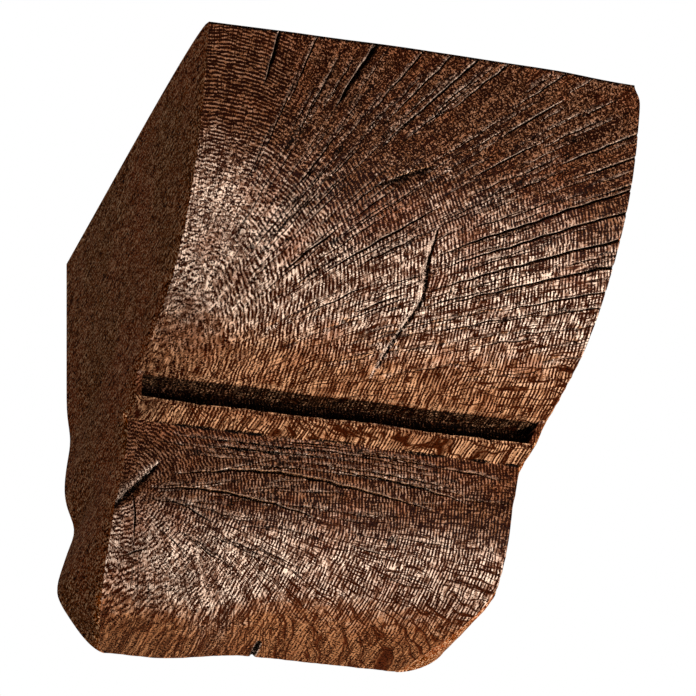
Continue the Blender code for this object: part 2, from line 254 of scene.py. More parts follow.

# %% [markdown]
# ## Where the timber has split
# As a squared beam dries it shrinks more round the rings than across them, so its end opens
# in checks that run out like spokes from the heart, the middle of the tree. The heart lies
# at the left, just under the lip of the upper roll. The widest checks are those of the CAD
# source, given by their angle and reach. Finer ones, which are too many to list, are spread
# by a seeded random generator, so they fall in the same places at every run.
#
# The carving tools left a torn scar and a gouge, and there is a chip at the lower left.

# %% Checks that are placed one by one
HEART_FROM_LEFT = 0.004
HEART_BELOW_LIP = 0.008
LOWER_HEART = (0.001, 0.149)
NEAR_EDGE = 0.0035
RUN_OUT = 0.005
CHECK_DEPTH_SHARE = 1.5
SCAR_DEPTH_SHARE = 0.42

# Degrees above level, nearest, farthest, width
UPPER_CHECKS = (
    (59.6, 0.103, 0.132, 0.0026), (77.2, 0.097, 0.116, 0.0018), (45.8, 0.114, 0.158, 0.0012),
    (34.6, 0.150, 0.184, 0.0012), (31.2, 0.132, 0.168, 0.0011), (27.4, 0.168, 0.214, 0.0012),
    (25.0, 0.176, 0.212, 0.0012), (29.2, 0.066, 0.117, 0.0012), (37.4, 0.050, 0.078, 0.0012),
    (21.6, 0.112, 0.202, 0.0014), (19.4, 0.112, 0.200, 0.0013), (16.7, 0.108, 0.198, 0.0014),
    (14.2, 0.110, 0.196, 0.0014), (11.9, 0.140, 0.192, 0.0011), (17.6, 0.080, 0.102, 0.0012),
)
THIN_CHECKS = (
    (10.6, 0.156, 0.190, 0.0009), (11.0, 0.114, 0.150, 0.0009), (8.7, 0.134, 0.162, 0.0008),
    (42.6, 0.137, 0.170, 0.0009), (37.2, 0.160, 0.192, 0.0008), (22.2, 0.184, 0.202, 0.0010),
    (26.4, 0.081, 0.107, 0.0009), (16.8, 0.076, 0.106, 0.0008), (21.5, 0.055, 0.090, 0.0009),
    (30.5, 0.166, 0.196, 0.0008), (28.3, 0.148, 0.168, 0.0007), (31.8, 0.188, 0.206, 0.0008),
    (48.9, 0.112, 0.150, 0.0009), (44.1, 0.130, 0.160, 0.0008), (52.6, 0.108, 0.144, 0.0009),
    (55.4, 0.066, 0.100, 0.0008), (64.5, 0.086, 0.122, 0.0008), (70.0, 0.092, 0.124, 0.0008),
)

# Width, then points as (from the left, below the soffit)
LOWER_CHECKS = (
    (0.0016, (0.023, 0.0182), (0.060, 0.0144), (0.105, 0.0176), (0.138, 0.0222)),
    (0.0013, (0.013, 0.0242), (0.043, 0.0230), (0.090, 0.0304)),
    (0.0012, (0.090, 0.0109), (0.125, 0.0132), (0.156, 0.0184)),
    (0.0009, (0.020, 0.0268), (0.031, 0.0297), (0.041, 0.0330)),
    (0.0009, (0.138, 0.0050), (0.153, 0.0056), (0.168, 0.0068)),
    (0.0010, (0.0058, 0.0262), (0.0076, 0.0330), (0.0098, 0.0412)),
    (0.0010, (0.005, 0.0451), (0.010, 0.0440), (0.0155, 0.0430)),
    (0.0008, (0.0207, 0.0507), (0.0216, 0.0520), (0.0228, 0.0533)),
)
CHIP = (0.0052, (0.0155, 0.0155), (0.0078, 0.0236), (-0.004, 0.0336))

# Width, then points as (from the left, drop)
SCAR = (0.0038, (0.107, 0.066), (0.106, 0.076), (0.108, 0.087), (0.103, 0.095), (0.098, 0.104))
GOUGE = (0.0050, (0.076, 0.055), (0.086, 0.051), (0.101, 0.0445))
FOOT_NOTCH = (0.0034, (0.0826, 0.1810), (0.0830, 0.1816), (0.0835, 0.1820))

# A torn cut is lopsided. Its lit side slopes more gently by the first share, the second says
# how much pale highlight is painted on that lit side, and the third how fast painted shade
# fills it from its bottom line.
TORN_SCAR, TORN_GOUGE = (0.45, 1.0, 1.2), (-0.50, 0.0, 0.90)
TORN_CHIP, TORN_NOTCH = (0.20, 0.6, 1.2), (0.1, 0.0, 4.0)
print("checks listed:", len(UPPER_CHECKS), "wide,", len(THIN_CHECKS), "thin,", len(LOWER_CHECKS), "low")


# %% Paths over the sheet
PATH_STEP = 0.0010
CURVE_STEPS = 24
STRAY_LENGTH = 0.007


def sheet_place(roll, across, drop):
    """Where points (from the left, drop) lie on the sheet: its width by its length."""
    arc = np.interp(drop, OUTLINE[roll, 1], ARC[roll]) + np.minimum(drop, 0.0)
    left = left_inset(np.interp(arc, ARC, OUTLINE[:, 0]), drop)
    share = (across - left) / (WIDTH - right_inset(drop) - left)
    return np.stack([share * WIDTH, arc], 1)


def even_path(points):
    """Evenly spaced points along a smooth curve through a few given ones."""
    marks = np.array(points)
    ends = np.vstack([2 * marks[0] - marks[1], marks, 2 * marks[-1] - marks[-2]])
    run = []
    for before, start, end, after in zip(ends, ends[1:], ends[2:], ends[3:]):
        t = np.linspace(0, 1, CURVE_STEPS, endpoint=False)[:, None]
        leave, arrive = (end - before) / 2, (after - start) / 2
        curve = start * (2 * t ** 3 - 3 * t ** 2 + 1) + end * (3 * t ** 2 - 2 * t ** 3)
        run.append(curve + leave * (t ** 3 - 2 * t ** 2 + t) + arrive * (t ** 3 - t ** 2))
    run = np.vstack(run + [marks[-1:]])
    gone = np.concatenate([[0.0], np.cumsum(np.hypot(*np.diff(run, axis=0).T))])
    stops = np.linspace(0, gone[-1], max(3, round(gone[-1] / PATH_STEP) + 1))
    return np.stack([np.interp(stops, gone, run[:, axis]) for axis in (0, 1)], 1)


def ray_path(heart, degrees, nearest, farthest):
    """A straight check that runs out from a heart, as (from the left, drop) points."""
    angle = math.radians(degrees)
    reach = np.linspace(nearest, farthest, max(3, round((farthest - nearest) / PATH_STEP) + 1))
    return np.array(heart) + np.outer(reach, (math.cos(angle), -math.sin(angle)))


def wander(path, amount, seed):
    """Shifts a path from side to side a little, as a real split strays."""
    along = np.gradient(path, axis=0)
    aside = np.stack([-along[:, 1], along[:, 0]], 1) / np.hypot(*along.T)[:, None]
    steps = np.arange(len(path)) * PATH_STEP
    shift = ripple(np.stack([steps, steps * 0, steps * 0], 1), STRAY_LENGTH, seed * 1.7)
    return path + aside * (amount * shift)[:, None]


print("scar, points along it:", len(even_path(SCAR[1:])))

# %% One cut
STRAY = 0.0005
RAGGED_LENGTH = 0.005


def cut(roll, path, width, depth, open_end=False, torn=None, seed=0.0):
    """One cut in the sheet: its path, and its half width and depth along that path."""
    last = len(path) - 1
    share = np.sin(np.pi * (np.arange(last + 1) + 0.35) / (last + 0.7)) ** (0.4 if torn else 0.6)
    if open_end:
        share[last // 2:] = 1.0
    steps = np.arange(last + 1) * PATH_STEP
    ragged = 0.45 if torn else 0.25
    uneven = ripple(np.stack([steps, steps * 0, steps * 0], 1), RAGGED_LENGTH, seed + 40.3)
    share = share * (1.0 + ragged * uneven)
    laid = sheet_place(roll, *wander(path, STRAY, seed).T)
    # The light comes from the lower right, so this is the side of the cut that catches it
    run = path[-1] - path[0]
    lit = -1.0 if 0.8 * run[0] > 0.6 * run[1] else 1.0
    half, depth = width / 2 * share, depth * share
    return {"path": laid, "half": half, "depth": depth, "torn": torn, "lit": lit}


def runs_out(point):
    """True where a check runs up to the top edge or out over the right arris."""
    return point[1] < NEAR_EDGE or point[0] > WIDTH - right_inset(point[1])


print("cuts stray by up to", 1000 * STRAY, "mm")

# %% Checks, scar, gouge and chip
UPPER_HEART = (HEART_FROM_LEFT, UPPER_DROP + HEART_BELOW_LIP)
cuts = []
for number, (degrees, nearest, farthest, width) in enumerate(UPPER_CHECKS + THIN_CHECKS):
    open_end = runs_out(ray_path(UPPER_HEART, degrees, nearest, farthest)[-1])
    path = ray_path(UPPER_HEART, degrees, nearest, farthest + RUN_OUT * open_end)
    cuts.append(cut(UPPER_ROLL, path, width, width * CHECK_DEPTH_SHARE, open_end, seed=number))
for number, (width, *points) in enumerate(LOWER_CHECKS):
    path = even_path(points) + np.array([0.0, SOFFIT_DROP])
    cuts.append(cut(LOWER_ROLL, path, width, width * CHECK_DEPTH_SHARE, seed=60 + number))
for (width, *points), torn in ((SCAR, TORN_SCAR), (GOUGE, TORN_GOUGE)):
    path, depth = even_path(points), width * SCAR_DEPTH_SHARE
    cuts.append(cut(UPPER_ROLL, path, width, depth, torn=torn, seed=80 + len(cuts)))
for (width, *points), below, torn in ((CHIP, SOFFIT_DROP, TORN_CHIP), (FOOT_NOTCH, 0.0, TORN_NOTCH)):
    path, depth = even_path(points) + np.array([0.0, below]), width * SCAR_DEPTH_SHARE
    cuts.append(cut(LOWER_ROLL, path, width, depth, True, torn, seed=80 + len(cuts)))
print("cuts placed by hand:", len(cuts))

# %% Fine checks, spread at random
FINE_UPPER = 230
FINE_LOWER = 80
FINE_DEPTH_SHARE = 1.2
# The ranges that a check's degrees, start, length and width are drawn from
UPPER_RANGES = ((5.0, 72.0), (0.040, 0.190), (0.012, 0.048), (0.00040, 0.00068))
LOWER_RANGES = ((-34.0, 16.0), (0.012, 0.150), (0.010, 0.028), (0.00040, 0.00060))
chance = np.random.default_rng(11)


def fine_check(heart, ranges):
    """Draws the path and the width of one fine check that runs out from a heart."""
    degrees, nearest = chance.uniform(*ranges[0]), chance.uniform(*ranges[1])
    path = ray_path(heart, degrees, nearest, nearest + chance.uniform(*ranges[2]))
    return path, chance.uniform(*ranges[3])


for number in range(FINE_UPPER):
    path, width = fine_check(UPPER_HEART, UPPER_RANGES)
    on_roll = path[-1][1] > -0.002 and path[0][1] < UPPER_DROP - 0.004
    if on_roll and not runs_out(path[0]):
        cuts.append(cut(UPPER_ROLL, path, width, width * FINE_DEPTH_SHARE, seed=100 + number))
for number in range(FINE_LOWER):
    path, width = fine_check(LOWER_HEART, LOWER_RANGES)
    on_roll = SOFFIT_DROP + 0.003 < path[:, 1].min() and path[:, 1].max() < HEIGHT - 0.012
    if on_roll and not runs_out(path[-1]):
        cuts.append(cut(LOWER_ROLL, path, width, width * FINE_DEPTH_SHARE, seed=400 + number))
print("cuts with the fine checks:", len(cuts))

# %% Level splits, just under the fillet
LEVEL_SPLITS = 26
LEVEL_DEPTH_SHARE = 1.3
for number in range(LEVEL_SPLITS):
    start, length = chance.uniform(0.010, 0.110), chance.uniform(0.025, 0.070)
    across = np.linspace(start, start + length, round(length / PATH_STEP))
    fall = chance.uniform(0.0014, 0.0125) + 0.0050 * np.clip((across - 0.085) / 0.08, 0.0, 1.0) ** 2
    width = chance.uniform(0.00050, 0.00085)
    path = np.stack([across, SOFFIT_DROP + fall], 1)
    cuts.append(cut(LOWER_ROLL, path, width, width * LEVEL_DEPTH_SHARE, seed=500 + number))
print("cuts in all:", len(cuts))

# %% [markdown]
# ## One skin of triangles
# An even grid would turn a thin check into a row of pits, because its lines would cross the
# check at odd places. So mesh points are laid along each check first, on its bottom and on
# both its rims, then along the edges of the groove, and then evenly over what is left.
# A Delaunay triangulation joins them into well shaped triangles. The same idea, with a
# coarser spacing, fills the sides, the top and the back, whose outer points are shared.

# %% Ways to lay out mesh points
ROW_RATIO = 0.866
SHOULDER = 0.0005


def beside(points, path):
    """Each point's distance to the side of a path, and how far along the path it lies."""
    start, run = path[:-1], np.diff(path, axis=0)
    off = points[:, None] - start
    along = np.clip((off * run).sum(2) / (run ** 2).sum(1), 0.0, 1.0)
    gap = off - along[..., None] * run
    best = np.hypot(gap[..., 0], gap[..., 1]).argmin(1)
    rows = np.arange(len(points))
    run, gap, along = run[best], gap[rows, best], along[rows, best]
    turn = run[:, 0] * gap[:, 1] - run[:, 1] * gap[:, 0]
    return np.copysign(np.hypot(*gap.T), turn), best + along


def spaced(batches):
    """Keeps points in order of their batches, dropping any too close to one kept before."""
    cell = 0.0005
    kept, grid = [], {}
    for points, gap in batches:
        reach = math.ceil(gap / cell)
        around = [(i, j) for i in range(-reach, reach + 1) for j in range(-reach, reach + 1)]
        for x, y in points:
            home = (int(x // cell), int(y // cell))
            near = (spot for i, j in around for spot in grid.get((home[0] + i, home[1] + j), ()))
            if all((x - a) ** 2 + (y - b) ** 2 >= gap * gap for a, b in near):
                grid.setdefault(home, []).append((x, y))
                kept.append((x, y))
    return np.array(kept)


def even_spots(low, high, step):
    """Evenly spaced points in rows that are shifted by half a step, as in a honeycomb."""
    rows = np.arange(low[1], high[1], step * ROW_RATIO)
    spots = []
    for number, row in enumerate(rows):
        columns = np.arange(low[0] + (number % 2) * step / 2, high[0], step)
        spots.append(np.stack([columns, np.full(len(columns), row)], 1))
    return np.vstack(spots)


def rim_rows(piece):
    """The rows of mesh points that a cut needs along its path."""
    along = np.gradient(piece["path"], axis=0)
    aside = np.stack([-along[:, 1], along[:, 0]], 1) / np.hypot(*along.T)[:, None]
    places = (0, 1, -1, 0.5, -0.5, 1.5, -1.5) if piece["torn"] else (0, 1, -1)
    rows = [piece["path"] + aside * (piece["half"] * place)[:, None] for place in places]
    if piece["half"].max() > SHOULDER and not piece["torn"]:
        shoulders = piece["half"] + SHOULDER
        rows += [piece["path"] + aside * (sign * shoulders)[:, None] for sign in (-1, 1)]
    return np.vstack(rows)


print("mesh points along the first check:", len(rim_rows(cuts[0])))

# %% Points round the edge of the front
EDGE_STEP = 0.0010
LENGTH = ARC[-1]
CREASES = (LIP, GROOVE_TOP, GROOVE_FOOT, NOSE_TOP, NOSE_FOOT, SOFFIT)
across_stops = np.linspace(0, WIDTH, round(WIDTH / EDGE_STEP) + 1)
down_stops = np.unique(np.concatenate([
    np.linspace(start, end, max(2, round((end - start) / EDGE_STEP)) + 1)
    for start, end in zip([0, *CREASES], [*CREASES, LENGTH])]).round(9))
edge_ring = np.vstack([
    np.stack([across_stops[:-1], across_stops[:-1] * 0], 1),
    np.stack([down_stops[:-1] * 0 + WIDTH, down_stops[:-1]], 1),
    np.stack([across_stops[:0:-1], across_stops[:0:-1] * 0 + LENGTH], 1),
    np.stack([down_stops[:0:-1] * 0, down_stops[:0:-1]], 1)])
print("mesh points round the edge:", len(edge_ring))

# %% Points of the front sheet
FRONT_STEP = 0.00122
TOP_BAND = 0.0012
EDGE_MARGIN, FIELD_MARGIN = 0.0004, 0.0006
CREASE_GAP, RIM_GAP, FIELD_GAP = 0.0003, 0.00017, 0.00080


def in_sheet(points, margin):
    """Keeps the points that lie on the sheet and clear of its edge."""
    clear = (points > margin) & (points < np.array([WIDTH, LENGTH]) - margin)
    return points[clear.all(1)]


creases = [np.stack([across_stops, across_stops * 0 + arc], 1) for arc in (TOP_BAND, *CREASES)]
groove_stops = down_stops[(down_stops > LIP) & (down_stops < NOSE_TOP)]
for inward in (GROOVE_STOP, GROOVE_STOP + STOP_SLOPE):
    for column in (inward, WIDTH - inward):
        creases.append(np.stack([groove_stops * 0 + column, groove_stops], 1))
sheet = spaced([
    (edge_ring, 0.0),
    (in_sheet(np.vstack(creases), EDGE_MARGIN), CREASE_GAP),
    (in_sheet(np.vstack([rim_rows(piece) for piece in cuts]), EDGE_MARGIN), RIM_GAP),
    (in_sheet(even_spots((0, 0), (WIDTH, LENGTH), FRONT_STEP), FIELD_MARGIN), FIELD_GAP)])
print("mesh points on the carved front:", len(sheet))

# %% [markdown]
# ## Relief
# Each point of the sheet is then pushed in or out. A check is a narrow V. A scar is lopsided:
# the tool tore the wood away from one side. The rims of a check stand a little proud, since
# the wood curls as it opens. A pale highlight is painted on the rims and torn faces on the side
# of each cut that faces the key light, and painted shade darkens the cuts towards their
# bottoms and on the shaded side of a torn one. At the top edge every check closes, because
# the arris was pressed flat under its load.

# %% Relief of the front
RIM_HEIGHT = 0.00022
RIM_WIDTH = 0.0003
TORN_GRAIN = 0.0017


def front_relief(points):
    """How far each sheet point stands out, and its soil and wear marks."""
    relief, soil_and_shade, wear_and_highlight = np.zeros((3, len(points)))
    for piece in cuts:
        reach = 2.0 * piece["half"].max() + 0.002
        low, high = piece["path"].min(0) - reach, piece["path"].max(0) + reach
        near = np.flatnonzero(((points > low) & (points < high)).all(1))
        if not len(near):
            continue
        off, place = beside(points[near], piece["path"])
        steps = np.arange(len(piece["path"]))
        half, depth = (np.interp(place, steps, piece[name]) for name in ("half", "depth"))
        lit = off * piece["lit"] > 0.0
        lean, lit_pale_share, dark_fill = piece["torn"] or (0.0, 0.0, 1.0)
        half = half * np.where(lit, 1.0 + lean, 1.0 - lean)
        inner = np.clip(1.0 - np.abs(off) / half, 0.0, 1.0)
        rim = np.exp(-((np.abs(off) - half) / RIM_WIDTH) ** 2) * np.clip(half / 0.0005, 0.2, 1.0)
        rim = rim * (lit_pale_share if piece["torn"] else 1.0)
        relief[near] = np.minimum(relief[near], -depth * inner) + RIM_HEIGHT * rim * (inner <= 0.0)
        if piece["torn"]:
            # Painted shade: a torn cut darkens from its bottom line, and on its lit side only where it
            # is not painted pale
            shade = np.clip(dark_fill * inner - 0.2, 0.0, 1.0) * np.where(lit, 1.0 - lit_pale_share, 1.0)
            spots = np.stack([points[near, 0], points[near, 1], off * 0], 1)
            rough_face = np.clip(0.75 + 1.1 * ripple(spots, TORN_GRAIN, 12.0), 0.15, 1.0)
        else:
            # Painted shade: a check is darkened towards its bottom, a wide one more
            shade, rough_face = np.clip(inner * (1.0 + (1000 * half) ** 2), 0.0, 1.0), 1.0
        soil_and_shade[near] = np.maximum(soil_and_shade[near], shade * np.clip(depth / 0.0009, 0.4, 1.0))
        # Painted highlight: rims and a torn cut's worn face are paled only on the side that faces the
        # key light
        lit_pale = np.maximum(rim, lit_pale_share * np.clip(4.0 * inner, 0.0, 1.0))
        wear_and_highlight[near] = np.maximum(wear_and_highlight[near], lit_pale * lit * rough_face)
    return relief, soil_and_shade, wear_and_highlight


relief, soil_and_shade, wear_and_highlight = front_relief(sheet)
print("deepest cut, mm:", round(-1000 * relief.min(), 2))


# %% Furrows, crumbled edges and grit
GRIT_HEIGHT = 0.00016
CLOSING = 0.0025
FURROW_RUN = 9.0
BITE_DEPTH, BITE_LENGTH, BITE_REACH = 0.0011, 0.006, 0.0012


def streaks(points):
    """Tool marks along the groove: long level furrows, deepest on its back wall."""
    inside = smooth((points[:, 1] - LIP) / 0.002) * smooth((NOSE_TOP - points[:, 1]) / 0.002)
    spots = np.stack([points[:, 0] / FURROW_RUN, points[:, 1], points[:, 1] * 0], 1)
    return inside * (0.00050 * ripple(spots, 0.0022, 5.0) + 0.0003 * ripple(spots, 0.0045, 8.0))


def broken_edges(points):
    """Small bites out of the lip and the nose, where the end grain has crumbled."""
    spots = np.stack([points[:, 0], points[:, 0] * 0, points[:, 0] * 0], 1)
    bites = 0.0
    for arc, seed in ((LIP, 2.2), (NOSE_TOP, 6.6), (NOSE_FOOT, 9.1)):
        close = np.exp(-((points[:, 1] - arc) / BITE_REACH) ** 2)
        bite = np.clip(ripple(spots, BITE_LENGTH, seed) - 0.12, 0.0, 1.0)
        bites = bites - close * BITE_DEPTH * bite
    return bites


flat_spots = np.stack([sheet[:, 0], sheet[:, 1], sheet[:, 1] * 0], 1)
relief += streaks(sheet) + broken_edges(sheet)
relief += GRIT_HEIGHT * (ripple(flat_spots, 0.0075, 1.0) + 0.6 * ripple(flat_spots, 0.0034, 2.0))
sunk = (sheet[:, 1] > LIP) & (sheet[:, 1] < NOSE_TOP)
stop = np.where(sunk, groove_share(sheet[:, 0] / WIDTH), 1.0)
relief *= smooth(sheet[:, 1] / CLOSING) * stop
print("relief, mm:", round(1000 * relief.min(), 2), "to", round(1000 * relief.max(), 2))

# %% [markdown]
# ## Where the stain lies darker, and where light and shade are painted
# The finish can't come from a noise alone, because its darkest and palest places are where
# something happened: a darkened groove, soot along the top edge, a painted sheen on the left
# margin, old resin stains, and light and shade painted on. So each mesh point carries six
# marks from 0 to 1. Soil and shade is black, partly soot and partly painted shade in the cuts
# and the crease under the fillet. Wear and highlight is a painted highlight, with some wear, on
# the lit rims, the lips and torn faces. Pale and dark shift the tone; pale also strengthens the
# painted sheen, and dark holds some painted shade under the fillet. Warm is a rusty patch, and
# order says how clearly the rings can be read there. The places of the patches were judged.

# %% Marks listed one by one
# From the left, drop, size across, size down, amount
# Pale patches also strengthen the painted sheen of the end grain
PALE_SPOTS = (
    (0.0045, 0.072, 0.0050, 0.030, 0.60), (0.0057, 0.083, 0.0040, 0.0035, 0.9),
    (0.100, 0.099, 0.004, 0.005, 0.7), (0.100, 0.083, 0.007, 0.008, 0.35),
    (0.060, 0.090, 0.030, 0.010, 0.10), (0.120, 0.134, 0.080, 0.007, 0.25))
DARK_SPOTS = (
    (0.034, 0.038, 0.0055, 0.005, 0.7), (0.0024, 0.026, 0.005, 0.009, 0.6),
    (0.070, 0.0615, 0.006, 0.004, 0.6), (0.0715, 0.041, 0.006, 0.004, 0.5),
    (0.138, 0.020, 0.008, 0.006, 0.5), (0.171, 0.1235, 0.006, 0.003, 1.0),
    (0.026, 0.087, 0.006, 0.005, 0.4), (0.176, 0.045, 0.010, 0.030, 0.35),
    (0.090, 0.1345, 0.045, 0.0035, 0.3), (0.170, 0.138, 0.014, 0.012, 0.3),
    (0.035, 0.1275, 0.030, 0.0035, 0.2), (0.070, 0.063, 0.026, 0.013, 0.50),
    (0.150, 0.168, 0.030, 0.010, 0.25))
WARM_SPOTS = (
    (0.046, 0.078, 0.006, 0.005, 0.9), (0.083, 0.063, 0.009, 0.005, 1.0),
    (0.119, 0.066, 0.012, 0.008, 0.7), (0.157, 0.046, 0.018, 0.012, 0.5),
    (0.060, 0.003, 0.060, 0.005, 0.6), (0.020, 0.103, 0.018, 0.006, 0.7),
    (0.185, 0.006, 0.006, 0.006, 0.9), (0.007, 0.172, 0.006, 0.022, 0.5),
    (0.100, 0.106, 0.110, 0.006, 0.4))
SPECKLED_SPOTS = (
    (0.014, 0.072, 0.020, 0.022, 1.0), (0.012, 0.098, 0.018, 0.014, 0.8),
    (0.180, 0.135, 0.020, 0.015, 0.7), (0.004, 0.147, 0.014, 0.014, 0.5),
    (0.035, 0.169, 0.032, 0.012, 0.65))


def patches_at(across, drop, spots):
    """The strongest of some soft round patches at each point."""
    fields = [amount * np.exp(-((across - x) / wide) ** 2 - ((drop - z) / high) ** 2)
              for x, z, wide, high, amount in spots]
    return np.max(fields, axis=0)


drops = np.interp(sheet[:, 1], ARC, OUTLINE[:, 1])
lefts = left_inset(np.interp(sheet[:, 1], ARC, OUTLINE[:, 0]), drops)
acrosses = lefts + (WIDTH - right_inset(drops) - lefts) * sheet[:, 0] / WIDTH
pale, dark, warm, speckled_near = (
    patches_at(acrosses, drops, spots)
    for spots in (PALE_SPOTS, DARK_SPOTS, WARM_SPOTS, SPECKLED_SPOTS))
print("strongest pale patch:", round(pale.max(), 2))

# %% Marks that follow the form
FILLET_SHADE = 0.016
CREASE_SHADE = 0.0008
lower_face = sheet[:, 1] > SOFFIT
near_fillet = np.where(lower_face, 1.0 - smooth((sheet[:, 1] - SOFFIT) / FILLET_SHADE), 0.0)
# Painted shade: the lower roll is darkened a little just under the fillet
dark = np.maximum(dark, 0.12 * near_fillet)
warm = np.maximum(warm, 0.55 * near_fillet)
in_groove = smooth((sheet[:, 1] - LIP - 0.0010) / 0.0015)
in_groove = in_groove * smooth((NOSE_TOP - sheet[:, 1]) / 0.0012)
soil_and_shade = np.maximum(soil_and_shade, 0.46 * in_groove * (stop > 0.5))
warm = np.maximum(warm, sunk * (stop < 0.5))
soil_and_shade = np.maximum(soil_and_shade, 1.0 - smooth(sheet[:, 1] / TOP_BAND * 0.8))
# Painted shade: a broken dark line along the crease under the fillet
broken_line = np.clip(0.45 + 1.1 * ripple(flat_spots, 0.009, 5.0), 0.10, 0.9)
soil_and_shade = np.maximum(soil_and_shade, broken_line * np.exp(-((sheet[:, 1] - SOFFIT) / CREASE_SHADE) ** 2))
# Painted highlight: a pale line along the lip and along the top of the nose
lips = sum(np.exp(-((sheet[:, 1] - arc) / 0.0005) ** 2) for arc in (LIP, NOSE_TOP))
wear_and_highlight = np.maximum(wear_and_highlight, lips * np.clip(0.5 + 1.2 * ripple(flat_spots, 0.0030, 3.0), 0.0, 1.0))
speckled = smooth((0.060 - drops) / 0.020) * smooth((acrosses - 0.026) / 0.015)
speckled = np.maximum(speckled, speckled_near)
speckled = np.maximum(speckled, 0.8 * smooth((sheet[:, 1] - LENGTH + 0.045) / 0.020))
order = 1.0 - speckled
MARKS = {"soil_and_shade": soil_and_shade, "wear_and_highlight": wear_and_highlight, "pale": pale, "dark": dark, "warm": warm, "order": order}
MARK_NAMES = tuple(MARKS)
sheet_marks = np.stack([MARKS[name] for name in MARK_NAMES], 1)
print("marks on each point:", MARK_NAMES)


# %% The front in space
TURN_SPAN = 0.0004


def outward(arc):
    """The way the outline faces at each length, as rows of (x, y, z)."""
    ahead, behind = (np.clip(arc + step, 0, LENGTH) for step in (TURN_SPAN, -TURN_SPAN))
    run = [np.interp(ahead, ARC, line) - np.interp(behind, ARC, line) for line in OUTLINE.T]
    size = np.hypot(*run)
    return np.stack([size * 0, -run[1] / size, -run[0] / size], 1)


front_points = front(sheet[:, 0] / WIDTH, sheet[:, 1]) + outward(sheet[:, 1]) * relief[:, None]
front_points[sheet[:, 1] == 0.0, 2] = HEIGHT / 2
front_points[:, 2] = np.minimum(front_points[:, 2], HEIGHT / 2)
front_points[sheet[:, 1] == LENGTH, 1] = 0.0
print("front spans, mm:", (1000 * np.ptp(front_points, axis=0)).round(1).tolist())


# %% A skin that shares its corners
class Skin:
    """Collects triangles whose corners are shared wherever two patches meet."""

    def __init__(self):
        self.index, self.points, self.marks, self.faces, self.kinds = {}, [], [], [], []

    def corner(self, point, mark):
        key = tuple(round(float(value), 7) for value in point)
        if key not in self.index:
            self.index[key] = len(self.points)
            self.points.append(key)
            self.marks.append(mark)
        return self.index[key]

    def patch(self, flat, placed, marks, ring, kind):
        """Triangulates flat points inside the ring of the first ones, at their places in space."""
        found = delaunay_2d_cdt([Vector(spot) for spot in flat], [], [list(range(ring))], 1, 1e-8)
        source = [olds[0] for olds in found[3]]
        for triangle in found[2]:
            corners = [self.corner(placed[source[k]], marks[source[k]]) for k in triangle]
            if len(set(corners)) == 3:
                self.faces.append(corners)
                self.kinds.append(kind)


END_GRAIN, LONG_GRAIN = 0, 1
skin = Skin()
skin.patch(sheet, front_points, sheet_marks, len(edge_ring), END_GRAIN)
print("triangles on the front:", len(skin.faces))

# %% [markdown]
# ## Sides, top and back
# The sides run along the grain and keep the shallow hollows of the adze. The top carried a
# load and is sawn flat, and the back was cut off square where the beam met the wall. They
# are filled from their outer points inward, with just enough points for their low relief.

# %% Filling a flat patch
SIDE_STEP = 0.0027
SIDE_MARGIN = 0.45 * SIDE_STEP
BATCH = 400


def well_inside(spots, ring, margin):
    """Keeps the spots that lie in a ring and clear of its edge."""
    start, end = ring, np.roll(ring, -1, axis=0)
    run = end - start
    keep = []
    for batch in np.array_split(spots, max(1, len(spots) // BATCH)):
        off = batch[:, None] - start
        along = np.clip((off * run).sum(2) / (run ** 2).sum(1), 0.0, 1.0)
        gap = np.linalg.norm(off - along[..., None] * run, axis=2).min(1)
        crosses = (start[:, 1] > batch[:, 1:]) != (end[:, 1] > batch[:, 1:])
        slope = run[:, 0] / np.where(run[:, 1] == 0.0, 1.0, run[:, 1])
        left_of = batch[:, :1] < start[:, 0] + slope * (batch[:, 1:] - start[:, 1])
        keep.append(((crosses & left_of).sum(1) % 2 == 1) & (gap > margin))
    return spots[np.concatenate(keep)]


def fill(ring_flat, ring_placed, ring_marks, place, kind):
    """Fills one patch: place turns inner flat spots into points in space."""
    spots = even_spots(ring_flat.min(0), ring_flat.max(0), SIDE_STEP)
    spots = well_inside(spots, ring_flat, SIDE_MARGIN)
    marks = np.vstack([ring_marks, np.zeros((len(spots), len(MARK_NAMES)))])
    flat, placed = np.vstack([ring_flat, spots]), np.vstack([ring_placed, place(spots)])
    skin.patch(flat, placed, marks, len(ring_flat), kind)


print("mesh points on the sides lie", 1000 * SIDE_STEP, "mm apart")


# %% The two sides
def adze(spots, seed):
    """Shallow hollows about 20 mm long, with a little torn grain between them."""
    laid = np.stack([spots[:, 0] / 1.8, spots[:, 1], spots[:, 0] * 0], 1)
    return 0.00045 * ripple(laid, 0.012, seed) + 0.00018 * ripple(laid, 0.004, seed + 3.0)


